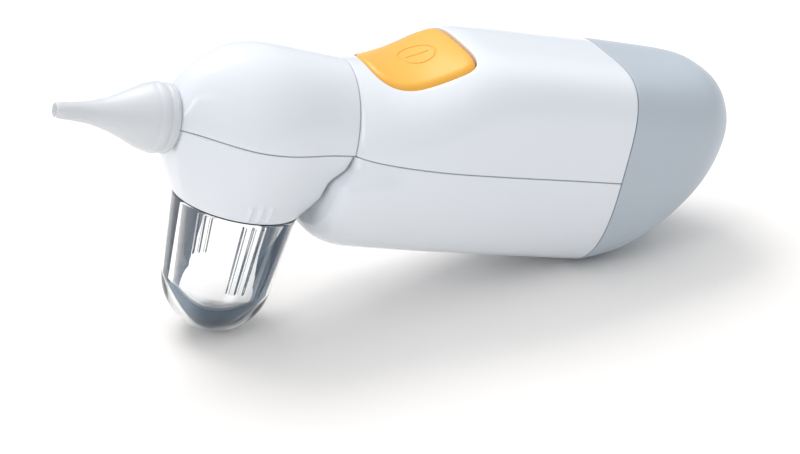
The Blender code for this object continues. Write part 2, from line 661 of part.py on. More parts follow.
def make_motor():
    def at(u, w=0.0):
        return (u, 0.0, MOTOR_W + w)
    turned("motor_can", CAN_STEEL,
           [(2.2, MOTOR_FRONT), (2.2, MOTOR_FRONT + 1.2), (MOTOR_RADIUS - 1, MOTOR_FRONT + 1.2),
            (MOTOR_RADIUS - 1, MOTOR_REAR), (MOTOR_RADIUS, MOTOR_REAR), (MOTOR_RADIUS, MOTOR_FRONT)],
           location=at(0), direction=(1, 0, 0), steps=28)
    cap = rod("motor_end_cap", BLACK_PLASTIC,
              at(MOTOR_REAR + GAP), at(END_CAP_REAR), MOTOR_RADIUS - 0.2, 24)
    cut(cap, rod("end_cap_hole", None, at(MOTOR_REAR - 1), at(END_CAP_REAR + 1), SHAFT_RADIUS + GAP, 12))
    spin = new_empty("motor_axis", at(0), parent=FRAME)
    rod("motor_shaft", SPRING_STEEL,
        (33.0, 0, 0), (END_CAP_REAR - 0.6, 0, 0), SHAFT_RADIUS, 12, parent=spin)
    armature = rod("motor_armature", COPPER_WIRE, (45.2, 0, 0), (53.2, 0, 0), 6.0, 20, parent=spin)
    cut(armature, rod("armature_bore", None, (44, 0, 0), (58, 0, 0), SHAFT_RADIUS + GAP, 12, parent=spin))
    crank = rod("crank_eccentric", BRASS, (CRANK_U - 2, 0, CRANK_THROW), (CRANK_U + 2, 0, CRANK_THROW),
                CRANK_RADIUS, 24, parent=spin)
    cut(crank, rod("crank_bore", None, (30, 0, 0), (40, 0, 0), SHAFT_RADIUS + GAP, 12, parent=spin))
    arc = spread(-math.radians(55), math.radians(55), 8)
    outline = [(8.7 * math.cos(a), 8.7 * math.sin(a)) for a in arc]
    outline += [(6.7 * math.cos(a), 6.7 * math.sin(a)) for a in reversed(arc)]
    for name, turn in (("left", -1), ("right", 1)):
        sector = [(turn * x, y) for x, y in outline]
        ring_ends = [[(u, x, y + MOTOR_W) for x, y in sector] for u in (45.0, 53.7)]
        lofted("motor_magnet_" + name, DARK_METAL, ring_ends)


def make_connecting_rod():
    """Ring on the crank, with a shank down to the foot that drives the diaphragm."""
    centre_w = MOTOR_W + CRANK_THROW
    pin = new_empty("crank_pin_axis", (CRANK_U, 0, centre_w), parent=FRAME)
    ring = rod("connecting_rod", GLOSS_WHITE, (-1.7, 0, 0), (1.7, 0, 0), 6.0, 24, parent=pin)
    foot = ROD_FOOT - centre_w
    shank = box("rod_shank", None, (-1.1, -1.5, foot + 0.5), (1.1, 1.5, -5.0), pin)
    pad = rod("rod_foot", None, (0, 0, foot), (0, 0, foot + 1.0), 3.5, 16, parent=pin)
    join(ring, shank, pad)
    cut(ring, rod("rod_eye", None, (-4, 0, 0), (4, 0, 0), CRANK_RADIUS + 0.2, 24, parent=pin))


def make_pump():
    front, rear = CRANK_U - PUMP_HALF_LENGTH, CRANK_U + PUMP_HALF_LENGTH
    side = PUMP_HALF_WIDTH
    plate = MOTOR_FRONT - GAP
    bracket = box("pump_bracket", GREY_PLASTIC, (plate - 1.6, -10.5, -14.3), (plate, 10.5, 7.6))
    deck = box("bracket_deck", None, (front, -side, -14.3), (plate - 0.5, side, -12.7))
    join(bracket, deck)
    cut(bracket, rod("deck_hole", None, (CRANK_U, 0, -16), (CRANK_U, 0, -11), 5.6, 20),
        rod("bracket_hole", None, (38, 0, MOTOR_W), (44, 0, MOTOR_W), 2.2, 14))
    turned("diaphragm", RUBBER, [(0.0, -14.6), (7.8, -14.6), (7.8, -15.8), (0.0, -15.8)],
           location=(CRANK_U, 0, 0), steps=24)

    chamber = box("pump_chamber", GREY_PLASTIC, (front, -side, -19.6), (rear, side, -16.1))
    cut(chamber, rod("chamber_bowl", None, (CRANK_U, 0, -17.9), (CRANK_U, 0, -15), 5.5, 20))
    cover = box("pump_cover", GREY_PLASTIC, (front, -side, PUMP_BOTTOM), (rear, side, -19.9))
    elbow = box("inlet_elbow", None,
                (BARB_U - 2.2, VALVE_V - 2.2, PUMP_BOTTOM), (front + 0.5, VALVE_V + 2.2, -20.2))
    barb = rod("inlet_barb", None, (BARB_U, VALVE_V, -21), (BARB_U, VALVE_V, -15.6), BARB_RADIUS, 12)
    join(cover, elbow, barb)
    for name, v in (("inlet", VALVE_V), ("outlet", -VALVE_V)):
        cut(chamber, rod(name + "_passage", None, (CRANK_U, v, -21), (CRANK_U, v, -17), 1.0, 10))
        cut(cover, rod(name + "_valve_seat", None, (CRANK_U, v, -21.4), (CRANK_U, v, -19), 2.8, 16))
        rod(name + "_valve", RUBBER, (CRANK_U, v, -20.9), (CRANK_U, v, -20.3), 2.4, 16)
    cut(cover,
        rod("inlet_channel", None,
            (BARB_U - 0.2, VALVE_V, CHANNEL_W), (CRANK_U, VALVE_V, CHANNEL_W), 0.8, 10),
        rod("inlet_rise", None, (BARB_U, VALVE_V, CHANNEL_W - 0.1), (BARB_U, VALVE_V, -14), BARB_BORE, 10),
        rod("outlet_channel", None,
            (CRANK_U, -VALVE_V, CHANNEL_W), (CRANK_U, -side - 1, CHANNEL_W), 0.8, 10))
    for v, name in ((-6.8, "left"), (6.8, "right")):
        way = rod("pump_screw_way_" + name, None, (29.8, v, -26), (29.8, v, -11), 1.2, 10)
        for piece in (bracket, chamber, cover):
            cut(piece, way)
        rod("pump_screw_" + name, SPRING_STEEL, (29.8, v, PUMP_BOTTOM + 0.1), (29.8, v, -12.8), 0.9, 10)
    route = curved_route([(BARB_U, 0, 0.0), (BARB_U, 0, -3.0), (BARB_U, 0.8, -6.5), (BARB_U, 2.4, -10.5),
                          (BARB_U, VALVE_V, -14.5), (BARB_U, VALVE_V, -19.8)], 2)
    hollow_tube("suction_hose", CLEAR_HOSE, route, HOSE_OUTER, HOSE_INNER)


# ---------------------------------------------------------------- batteries and cover

def make_battery_tray():
    half = CELL_V + CELL_BORE + 1.2
    tray = box("battery_tray", BLACK_PLASTIC, (TRAY_FRONT, -half, CELL_W - TRAY_HALF_HEIGHT),
               (TRAY_REAR, half, CELL_W + TRAY_HALF_HEIGHT))
    for v in (-CELL_V, CELL_V):
        cut(tray, rod(f"cell_bay_{v}", None,
                      (TRAY_FRONT + 2, v, CELL_W), (TRAY_REAR + 2, v, CELL_W), CELL_BORE, 24))
    box("front_contact_plate", NICKEL, (CONTACT_FRONT, -CELL_V - 4, CELL_W - CONTACT_HALF_HEIGHT),
        (CONTACT_FRONT + CONTACT_THICKNESS, -CELL_V + 4, CELL_W + CONTACT_HALF_HEIGHT))
    spring = wire("front_contact_spring", NICKEL,
                  coil(3.6, CONTACT_FRONT + 0.3, CELL_FLAT_FRONT - 0.6, 2.0), 0.3)
    spring.location = Vector((0, CELL_V, CELL_W)) * MM
    spring.rotation_euler = (0, math.pi / 2, 0)


def make_cells():
    """AA cells that face opposite ways: the nub of the first points forward."""
    for name, v, way, flat_end in (("left", -CELL_V, -1, CELL_FLAT_REAR),
                                     ("right", CELL_V, 1, CELL_FLAT_FRONT)):
        body = CELL_LENGTH
        profile = [(0.0, body + 1.0), (2.6, body + 1.0), (2.6, body), (CELL_RADIUS - 0.4, body),
                   (CELL_RADIUS, body - 0.5), (CELL_RADIUS, 0.4), (CELL_RADIUS - 0.4, 0.0), (0.0, 0.0)]
        turned("battery_cell_" + name, CELL_JACKET, profile, (flat_end, v, CELL_W), (way, 0, 0), 24)


def make_battery_cover():
    end = (COVER_END[0], 0.0, COVER_END[1])
    cover = lofted("battery_cover", GREY_COVER, [cover_ring(rib) for rib in COVER_RIBS], end_pole=end)
    inner = [cover_ring(rib, COVER_WALL, 20) for rib in COVER_RIBS[:9]]
    mouth = [(u - 1.5, v, w) for u, v, w in inner[0]]
    middle = COVER_RIBS[8][5]
    floor = [(u + 0.5, v * 0.7, middle + (w - middle) * 0.7) for u, v, w in inner[-1]]
    lip = lofted("cover_lip", None, lip_rings(HANDLE_WALL + GAP))
    lip_hollow = lofted("lip_hollow", None, lip_rings(HANDLE_WALL + GAP + 1.3, 2.0))
    cut(cover, lofted("cover_hollow", None, [mouth] + inner + [floor]))
    join(cover, lip)
    cut(cover, lip_hollow)
    stop_front = CONTACT_REAR + CONTACT_THICKNESS + GAP
    join(cover, box("bridge_stop", None, (stop_front, -5.0, CELL_W - 2.0), (119.0, 5.0, CELL_W + 4.0)))

    half = CELL_V + CONTACT_SIDE
    box("contact_bridge", NICKEL, (CONTACT_REAR, -half, CELL_W - CONTACT_HALF_HEIGHT),
        (CONTACT_REAR + CONTACT_THICKNESS, half, CELL_W + CONTACT_HALF_HEIGHT))
    spring = wire("rear_contact_spring", NICKEL,
                  coil(3.6, CELL_FLAT_REAR + 0.6, CONTACT_REAR - 0.6, 1.5), 0.3)
    spring.location = Vector((0, -CELL_V, CELL_W)) * MM
    spring.rotation_euler = (0, math.pi / 2, 0)


def lip_rings(inset, overrun=0.0):
    """Rings of the push-in lip, from inside the handle to inside the cover."""
    front = [(HANDLE_REAR - LIP_LENGTH - overrun, v, w) for _, v, w in cover_ring(COVER_RIBS[0], inset, 24)]
    rear = [(COVER_FRONT + 3.0 + overrun, v, w) for _, v, w in front]
    return [front, rear]


def make_wiring():
    """Supply pair from the battery tray to the board, and motor pair from the board to the end cap."""
    for k, name in ((-1, "left"), (1, "right")):
        supply = curved_route([(TRAY_FRONT - 1.2, 10.0 * k, 8.5), (57.6, 11.5 * k, 12.0),
                               (58.2, 11.0 * k, 15.2), (56.4, 8.0 * k, 17.2)], 3)
        wire("supply_wire_" + name, WIRE_RED if k > 0 else WIRE_BLACK, supply, 0.55)
        motor = curved_route([(57.0, 5.0 * k, 7.3), (57.0, 5.0 * k, 9.2), (56.4, 4.6 * k, 11.0),
                              (55.8, 4.0 * k, 12.2), (55.2, 3.0 * k, 12.9)], 3)
        wire("motor_wire_" + name, WIRE_RED if k > 0 else WIRE_BLACK, motor, 0.5)


def make_board_screws():
    """Screws that hold the board from below, up into bosses under the button's well."""
    under = BOARD_TOP - BOARD_THICKNESS
    for v, name in ((-9.0, "left"), (9.0, "right")):
        turned("board_screw_" + name, SPRING_STEEL,
               [(0.0, -6.9), (0.8, -6.9), (0.8, under - GAP), (1.8, under - GAP), (1.8, under - 1.5),
                (0.0, under - 1.5)],
               location=(BOARD_SCREW_X, v, 0.0), steps=12, parent=SLOPE)


clear_scene()
PARTS = new_collection("nasal_aspirator")
CUTTERS = new_collection("cutters")
FRAME = new_empty("device_frame", (-STAND_CENTRE, 0.0, STAND_HEIGHT), (0.0, PITCH, 0.0))
SLOPE = new_empty("button_frame", BUTTON_CENTRE, (0.0, -BUTTON_SLOPE, 0.0), FRAME)

GLOSS_WHITE = material("gloss_white", WHITE, 0.18)
GREY_COVER = material("satin_grey", COOL_GREY, 0.35)
AMBER_PLASTIC = material("amber_plastic", AMBER, 0.3)
CLEAR = material("clear_plastic", (0.95, 0.97, 0.98), 0.05, 0.0, 1.0)
CLEAR_HOSE = material("clear_hose", (0.9, 0.92, 0.92), 0.2, 0.0, 0.8)
SILICONE = material("translucent_silicone", (0.90, 0.93, 0.94), 0.35, 0.0, 0.6)
RUBBER = material("black_rubber", (0.03, 0.03, 0.03), 0.7)
GREY_PLASTIC = material("grey_plastic", (0.35, 0.36, 0.38), 0.5)
BLACK_PLASTIC = material("black_plastic", (0.03, 0.03, 0.035), 0.45)
BOARD_GREEN = material("board_green", (0.03, 0.22, 0.08), 0.4)
CAN_STEEL = material("can_steel", STEEL, 0.3, 1.0)
SPRING_STEEL = material("spring_steel", STEEL, 0.25, 1.0)
DARK_METAL = material("magnet", (0.12, 0.12, 0.13), 0.5, 0.6)
BRASS = material("brass", (0.78, 0.60, 0.28), 0.3, 1.0)
COPPER_WIRE = material("copper_winding", COPPER, 0.35, 1.0)
NICKEL = material("nickel", (0.75, 0.74, 0.70), 0.25, 1.0)
CELL_JACKET = material("cell_jacket", (0.05, 0.12, 0.25), 0.35, 0.3)
WIRE_RED = material("wire_red", (0.65, 0.03, 0.03), 0.5)
WIRE_BLACK = material("wire_black", (0.02, 0.02, 0.02), 0.5)

make_silicone_tip()
make_nozzle_spigot()
make_head_shells()
make_splash_baffle()
make_cup()
make_handle_shells()
make_power_button()
make_suction_port()
make_switch_and_board()
make_motor()
make_connecting_rod()
make_pump()
make_battery_tray()
make_cells()
make_battery_cover()
make_wiring()
make_board_screws()
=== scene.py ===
"""Looks of the nasal aspirator: fine surfaces, materials, floor, light and camera around its frame.

Shapes are worked out in millimetres in the device's own frame, which the joints give: u runs
rearwards along the tip's axis, v is sideways and w is up, with u = 0 on the axis of the collection
cup and w = 0 on the parting line of the casings.
"""

import json
import math

import bmesh
import bpy
import numpy as np
from mathutils import Matrix, Vector


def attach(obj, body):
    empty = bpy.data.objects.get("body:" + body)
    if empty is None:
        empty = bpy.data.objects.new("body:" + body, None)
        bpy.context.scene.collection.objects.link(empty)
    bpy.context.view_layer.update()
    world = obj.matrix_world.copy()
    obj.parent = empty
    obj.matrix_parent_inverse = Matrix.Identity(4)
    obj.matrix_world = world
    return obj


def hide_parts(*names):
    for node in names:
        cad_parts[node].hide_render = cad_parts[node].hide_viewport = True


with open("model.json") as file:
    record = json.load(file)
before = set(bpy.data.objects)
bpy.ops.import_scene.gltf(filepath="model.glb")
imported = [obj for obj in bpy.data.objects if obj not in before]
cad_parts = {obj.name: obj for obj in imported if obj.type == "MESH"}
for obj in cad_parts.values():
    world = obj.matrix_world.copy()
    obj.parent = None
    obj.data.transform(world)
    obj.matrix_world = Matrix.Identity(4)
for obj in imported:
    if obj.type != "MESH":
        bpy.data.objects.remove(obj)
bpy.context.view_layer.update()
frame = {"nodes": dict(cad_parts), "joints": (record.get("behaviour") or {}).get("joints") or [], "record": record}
MM = 0.001
HALF_GAP = 0.15

# Tip: radius of the outer skin and of the bore against the distance forward of the cup's axis
TIP_OUTER = [(21.3, 7.6), (21.6, 7.95), (22.4, 8.2), (23.1, 8.1), (23.5, 7.75), (23.9, 8.1),
             (24.8, 8.3), (25.7, 8.2), (26.2, 7.85), (26.7, 7.9), (27.6, 7.65), (28.8, 7.2),
             (30.3, 6.5), (33.1, 5.15), (36.0, 4.0), (40.3, 2.75), (44.6, 2.15), (47.5, 2.0), (48.6, 1.95),
             (48.9, 1.85), (49.0, 1.65)]
TIP_INNER = [(21.3, 4.95), (24.0, 4.85), (27.0, 4.7), (29.8, 4.35), (33.5, 2.9), (38.0, 1.7), (44.0, 1.45),
             (49.0, 1.4)]
SPIGOT_RADIUS = 4.6
SPIGOT_BORE = 2.6

# Head
HEAD_WALL = 1.8
NOZZLE_FACE = -21.0
HEAD_REAR = 19.4
HEAD_HALF_WIDTH = [(-21.0, 7.3), (-16.7, 10.0), (-11.7, 14.3), (-5.4, 18.2), (0.3, 19.0),
                   (6.6, 18.1), (13.6, 16.2), (19.7, 15.7)]
HEAD_TOP = [(-21.0, 7.4), (-19.0, 11.3), (-16.7, 13.7), (-12.5, 16.9), (-8.0, 18.8), (-1.0, 19.6),
            (7.1, 18.9), (12.3, 18.4), (17.7, 17.8), (19.7, 17.6)]
COLLAR_RIM = -18.4
COLLAR_RADIUS = 15.3
COLLAR_BORE = 13.9
FLARE_POWER_SIDE = 1.4
FLARE_POWER_FRONT = 2.0
RIB_U = -0.9
RIB_PITCH = 2.3

# Collection cup
CUP_TOP_RADIUS = 15.0
CUP_LOW_RADIUS = 12.9
CUP_SHOULDER = -19.0
CUP_DOME_START = -39.5
CUP_BOTTOM = -51.2
CUP_WALL = 3.0
NECK_RADIUS = 13.6
NECK_BORE = 12.3
NECK_TOP = -11.5

# Handle
HANDLE_FRONT = 19.7
HANDLE_REAR = 87.8
HANDLE_WALL = 2.0
HANDLE_HALF_WIDTH = [(19.7, 15.7), (20.6, 16.8), (23.1, 18.7), (28.7, 20.6), (35.9, 21.9), (43.5, 22.5),
                     (54.2, 22.4), (76.6, 21.6), (87.8, 21.4)]
HANDLE_LOW_HALF_WIDTH = [(19.7, 18.2), (20.6, 20.0), (23.1, 21.0), (28.7, 21.6), (35.9, 22.1),
                         (43.5, 22.5), (54.2, 22.4), (76.6, 21.6), (87.8, 21.4)]
HANDLE_TOP = [(19.7, 17.6), (27.0, 17.7), (33.0, 18.7), (38.0, 20.5), (42.0, 22.6), (47.0, 24.7),
              (51.0, 25.3), (60.0, 25.2), (87.8, 24.8)]
HANDLE_BOTTOM = [(19.7, 21.6), (20.6, 23.6), (23.1, 25.5), (26.0, 26.2), (87.8, 26.2)]
HANDLE_TOP_POWER = [(19.7, 2.0), (26.0, 2.1), (36.0, 2.6), (50.0, 3.4), (60.0, 4.0), (87.8, 4.0)]
CHIN_REACH = [(19.7, 3.5), (20.6, 3.4), (23.1, 2.6), (28.7, 0.8), (35.9, 0.0), (87.8, 0.0)]
LOW_POWER = 2.6
FLAT_CUT = 0.7
UNDERSIDE = 25.5
CHIN_TOP = 1.5
CHIN_BLEND = 7.5

# Battery cover: (top u, top w, bottom u, bottom w, half-width, middle w) at each rib
COVER_FRONT = 88.1
COVER_RIBS = [(88.1, 24.8, 88.1, 26.2, 21.4, 0.0), (95.5, 24.7, 91.5, 25.3, 21.4, 0.0),
              (102.1, 24.8, 95.0, 24.3, 21.4, 0.0), (107.4, 25.0, 98.5, 22.4, 21.4, 0.4),
              (111.0, 24.9, 101.8, 19.6, 21.0, 1.5), (113.6, 24.3, 105.3, 16.2, 20.2, 3.0),
              (115.9, 23.3, 109.3, 12.4, 18.5, 4.6), (118.2, 21.4, 113.7, 8.1, 15.7, 6.4),
              (120.6, 17.8, 117.6, 3.2, 11.6, 8.2), (122.6, 13.6, 121.0, -2.6, 6.2, 8.7)]
COVER_END_U = 123.4
COVER_END_W = 8.7
COVER_WALL = 2.6
LIP_FRONT = 84.3
LIP_INSET = 2.3
LIP_WALL = 1.3

# Power button, in a frame that lies along the slope of the handle's top
BUTTON_CENTRE = (37.3, 0.0, 20.3)
BUTTON_SLOPE = math.radians(17.6)
BUTTON_SHIFT = -1.3
BUTTON_HALF_LENGTH = 12.4
BUTTON_HALF_WIDTH = 13.15
BUTTON_TAPER = 0.075
BUTTON_PROUD = 0.1
BUTTON_UNDER = -3.3
BUTTON_EDGE = 1.7
BUTTON_GAP = 0.3
WELL_FLOOR = -4.1
WELL_UNDER = -5.4
SWITCH_X = 2.0
ICON_RADIUS = 4.4
ICON_BAR = 5.8
ICON_LINE = 0.28
PORT_W = 5.0
PORT_HOLE = 3.5
SPIGOT_HOLE = 4.9


def device_matrix():
    """World matrix of the device's frame, from the axes of its slides and the motor's axis."""
    joints = {joint["name"]: joint for joint in frame["joints"]}
    u = Vector(joints["cover_pull"]["axis"]).normalized()
    w = -Vector(joints["cup_pull"]["axis"]).normalized()
    turn = Matrix((u, w.cross(u), w)).transposed()
    motor_point = Vector((36.0, 0.0, -2.0)) * MM
    place = Vector(joints["motor_spin"]["pos_m"]) - turn @ motor_point
    return Matrix.Translation(place) @ turn.to_4x4()


DEVICE = device_matrix()
SLOPE = Matrix.Translation(Vector(BUTTON_CENTRE)) @ Matrix.Rotation(-BUTTON_SLOPE, 4, 'Y')


# ---------------------------------------------------------------- curves

def ease(t):
    """Smooth step from 0 to 1 with no jump in curvature."""
    t = np.clip(t, 0.0, 1.0)
    return t ** 3 * (t * (6.0 * t - 15.0) + 10.0)


def step_ease(t):
    t = np.clip(t, 0.0, 1.0)
    return t * t * (3.0 - 2.0 * t)


def monotone(points, x):
    """Values at x of a curve through (x, y) points that never overshoots them."""
    xs = np.array([p[0] for p in points], float)
    ys = np.array([p[1] for p in points], float)
    slopes = np.diff(ys) / np.diff(xs)
    tangents = np.empty(len(xs))
    tangents[0], tangents[-1] = slopes[0], slopes[-1]
    for i, (before, after) in enumerate(zip(slopes, slopes[1:])):
        tangents[i + 1] = 2.0 * before * after / (before + after) if before * after > 0.0 else 0.0
    x = np.clip(x, xs[0], xs[-1])
    i = np.clip(np.searchsorted(xs, x, side='right') - 1, 0, len(slopes) - 1)
    span = xs[i + 1] - xs[i]
    t = (x - xs[i]) / span
    lead = t * (1.0 - t) ** 2 * tangents[i] * span
    tail = t * t * (1.0 - t) * tangents[i + 1] * span
    return ys[i] + (ys[i + 1] - ys[i]) * t * t * (3.0 - 2.0 * t) + lead - tail


def softened(points, blur=2.5, near=0.3, grow=0.3, parity=(-1, -1)):
    """Curve through the points, blurred more the further it is from its start.

    Parity says how the curve goes on past each end: -1 keeps the end's value, 1 its level slope.
    """
    low, high = points[0][0], points[-1][0]
    step = (high - low) / 600
    fine = low + step * np.arange(601)
    values = monotone(points, fine)
    pad = min(int(3.0 * blur / step) + 1, 590)
    start = values[pad:0:-1] if parity[0] > 0 else 2.0 * values[0] - values[pad:0:-1]
    end = values[-2:-pad - 2:-1] if parity[1] > 0 else 2.0 * values[-1] - values[-2:-pad - 2:-1]
    padded = np.concatenate([start, values, end])
    places = low + step * (np.arange(len(padded)) - pad)
    sigma = np.minimum(blur, near + grow * (fine - low))[:, None]
    weights = np.exp(-0.5 * ((places[None, :] - fine[:, None]) / sigma) ** 2)
    smooth = weights @ padded / weights.sum(axis=1)
    return lambda x: np.interp(x, fine, smooth)


head_half_width = softened(HEAD_HALF_WIDTH)
head_top = softened(HEAD_TOP)
handle_half_width = softened(HANDLE_HALF_WIDTH)
handle_low_half_width = softened(HANDLE_LOW_HALF_WIDTH)
handle_top = softened(HANDLE_TOP)
handle_bottom = softened(HANDLE_BOTTOM, 1.5)
handle_top_power = softened(HANDLE_TOP_POWER, 3.5)
chin_reach = softened(CHIN_REACH, 2.0)


def soft_floor(w, level, blend=0.9):
    """w, levelled off smoothly where it would go below the level."""
    depth = level + blend - w
    curved = level + (2.0 * blend - depth) ** 2 / (4.0 * blend)
    return np.where(depth <= 0.0, w, np.where(depth >= 2.0 * blend, level, curved))


# ---------------------------------------------------------------- mesh helpers

class Skin:
    """Points in device millimetres and the faces between them."""

    def __init__(self):
        self.points = []
        self.faces = []

    def row(self, points):
        start = len(self.points)
        self.points.extend(tuple(float(c) for c in p) for p in points)
        return list(range(start, len(self.points)))

    def strip(self, one, other, closed=False):
        count = len(one)
        for i in range(count if closed else count - 1):
            j = (i + 1) % count
            self.faces.append((one[i], one[j], other[j], other[i]))

    def grid(self, rows, closed=False):
        """Adds rows of points with the faces between them, and returns the rows of indices."""
        indices = [self.row(points) for points in rows]
        for one, other in zip(indices, indices[1:]):
            self.strip(one, other, closed)
        return indices

    def fan(self, row, point):
        centre = self.row([point])[0]
        for i in range(len(row)):
            self.faces.append((row[i], row[(i + 1) % len(row)], centre))

    def cross_cap(self, row):
        """Closes a half section by strips from side to side."""
        for i in range(len(row) // 2 - 1):
            self.faces.append((row[i], row[i + 1], row[-i - 2], row[-i - 1]))
        if len(row) % 2:
            middle = len(row) // 2
            self.faces.append((row[middle - 1], row[middle], row[middle + 1]))

    def build(self, name, matrix=None):
        mesh = bpy.data.meshes.new(name)
        place = DEVICE @ Matrix.Diagonal((MM, MM, MM, 1.0)) @ (matrix or Matrix.Identity(4))
        mesh.from_pydata([place @ Vector(p) for p in self.points], [], self.faces)
        bm = bmesh.new()
        bm.from_mesh(mesh)
        bmesh.ops.recalc_face_normals(bm, faces=bm.faces)
        bm.to_mesh(mesh)
        bm.free()
        obj = bpy.data.objects.new(name, mesh)
        bpy.context.scene.collection.objects.link(obj)
        return obj


def revolved(name, profile, axis='w', steps=96, bulge=None, matrix=None):
    """Turned solid from (radius, height) points; a closed loop, or open with both ends on the axis."""
    skin = Skin()
    if isinstance(steps, int):
        angles = np.linspace(0.0, 2.0 * math.pi, steps, endpoint=False)
    else:
        angles = steps
    rings = []
    poles = []
    for k, (radius, height) in enumerate(profile):
        if radius < 1e-6:
            poles.append((k, height))
            continue
        reach = np.full(len(angles), float(radius))
        if bulge is not None:
            reach = reach + bulge(k, angles, height)
        a, b = reach * np.cos(angles), reach * np.sin(angles)
        h = np.full(len(angles), float(height))
        rings.append(np.stack([a, b, h] if axis == 'w' else [-h, a, b], axis=1))
    rows = skin.grid(rings, closed=True)
    if poles:
        for (k, height), row in zip(poles, (rows[0], rows[-1])):
            point = (0, 0, height) if axis == 'w' else (-height, 0, 0)
            skin.fan(row, point)
    else:
        skin.strip(rows[-1], rows[0], closed=True)
    return skin.build(name, matrix)


def cylinder(name, start, end, radius, sides=48, matrix=None):
    """Closed round cutter from start to end."""
    start, end = Vector(start), Vector(end)
    turn = Vector((0, 0, 1)).rotation_difference(end - start).to_matrix()
    skin = Skin()
    rows = []
    for centre in (start, end):
        rows.append([centre + turn @ Vector((radius * math.cos(a), radius * math.sin(a), 0.0))
                     for a in np.linspace(0.0, 2.0 * math.pi, sides, endpoint=False)])
    first, last = skin.grid(rows, closed=True)
    skin.faces.append(tuple(first))
    skin.faces.append(tuple(last))
    return skin.build(name, matrix)


def block(name, low, high, matrix=None):
    skin = Skin()
    corners = [(low[0], low[1]), (high[0], low[1]), (high[0], high[1]), (low[0], high[1])]
    bottom, top = skin.grid([[(x, y, z) for x, y in corners] for z in (low[2], high[2])], closed=True)
    skin.faces.append(tuple(bottom))
    skin.faces.append(tuple(top))
    return skin.build(name, matrix)


def combine(obj, other, operation='DIFFERENCE'):
    """Boolean of obj with other, applied; other is used up."""
    modifier = obj.modifiers.new("combine", 'BOOLEAN')
    modifier.operation = operation
    modifier.object = other
    modifier.solver = 'EXACT'
    bpy.context.view_layer.update()
    result = bpy.data.meshes.new_from_object(obj.evaluated_get(bpy.context.evaluated_depsgraph_get()))
    obj.modifiers.clear()
    obj.data = result
    bpy.data.objects.remove(other, do_unlink=True)
    return obj


def cut(obj, *cutters):
    for cutter in cutters:
        combine(obj, cutter)
    return obj


def finish_piece(obj, body, nodes, mat, sharp=38.0):
    """Shades a piece, and says what it rides on, which CAD nodes it stands for and its finish."""
    obj.data.materials.clear()
    obj.data.materials.append(mat)
    obj.data.shade_smooth()
    obj.data.set_sharp_from_angle(angle=math.radians(sharp))
    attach(obj, body)
    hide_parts(*nodes)
    return obj


# ---------------------------------------------------------------- casing sections

ROLL = 0.11
ROLL_STEPS = ((0.0, 1.0), (0.293, 0.293), (1.0, 0.0))


def rolled_stations(front, rear, middle, roll):
    """(u, inset) of each station, with both ends rolled over by the given radius."""
    stations = [(front + roll * lift, roll * inset) for inset, lift in reversed(ROLL_STEPS)]
    stations += [(u, 0.0) for u in middle]
    return stations + [(rear - roll * lift, roll * inset) for inset, lift in ROLL_STEPS]


def arc_parameters(count, power):
    """Angles of a quarter superellipse that come out evenly spaced along it."""
    t = np.linspace(0.0, 1.0, count + 1)[1:]
    a = power / 2.0
    return 0.5 * math.pi * t ** a / (t ** a + (1.0 - t) ** a)


def half_section(quarter, roll):
    """Full half section from one quarter of (across, w) points, with rolled feet at the parting line."""
    width, first = quarter[0][0], HALF_GAP
    feet = [(width - roll * inset, first + max(roll, ROLL) * lift) for inset, lift in reversed(ROLL_STEPS)]
    quarter = feet + list(quarter[1:])
    mirrored = [(-v, w) for v, w in reversed(quarter[:-1])]
    return np.array(quarter + mirrored)


def handle_arc(u, side, inset=0.0, roll=0.0, count=34):
    """Half section of the handle above (side 1) or below (side -1) the parting line."""
    half = handle_half_width(u) - inset
    low_half = handle_low_half_width(u) - inset
    depth = (handle_top(u) if side > 0 else handle_bottom(u)) - inset
    power = handle_top_power(u) if side > 0 else LOW_POWER
    angles = arc_parameters(count, power)
    across = np.abs(np.cos(angles)) ** (2.0 / power)
    across[-1] = 0.0
    height = np.maximum(depth * np.sin(angles) ** (2.0 / power), HALF_GAP)
    if side < 0:
        height = -soft_floor(-height, inset - UNDERSIDE)
    width = half + (low_half - half) * ease(height * (side < 0) / CHIN_BLEND)
    quarter = [(half, HALF_GAP)] + list(zip(width * across, height))
    section = half_section(quarter, roll)
    w = side * section[:, 1]
    shift = ease((-w - CHIN_TOP) / CHIN_BLEND)
    return np.stack([u - chin_reach(u) * shift, section[:, 0], w], axis=1)


def head_arc(u, inset=0.0, roll=0.0, count=30):
    half, top = head_half_width(u) - inset, head_top(u) - inset
    angles = np.linspace(0.0, 0.5 * math.pi, count + 1)[1:]
    across = np.cos(angles)
    across[-1] = 0.0
    quarter = [(half, HALF_GAP)] + list(zip(half * across, np.maximum(top * np.sin(angles), HALF_GAP)))
    section = half_section(quarter, roll)
    return np.stack([np.full(len(section), float(u)), section[:, 0], section[:, 1]], axis=1)


def half_shell(name, outer, inner, rear_wall=False):
    """Closed half shell from outer and inner sections, with a front wall and perhaps a rear one."""
    skin = Skin()
    outside, inside = skin.grid(outer), skin.grid(inner)
    for side in (0, -1):
        skin.strip([row[side] for row in outside], [row[side] for row in inside])
    skin.cross_cap(outside[0])
    skin.cross_cap(inside[0])
    skin.faces.append((outside[0][0], outside[0][-1], inside[0][-1], inside[0][0]))
    if rear_wall:
        skin.cross_cap(outside[-1])
        skin.cross_cap(inside[-1])
        skin.faces.append((outside[-1][0], outside[-1][-1], inside[-1][-1], inside[-1][0]))
    else:
        skin.strip(outside[-1], inside[-1])
    return skin.build(name)


# ---------------------------------------------------------------- head

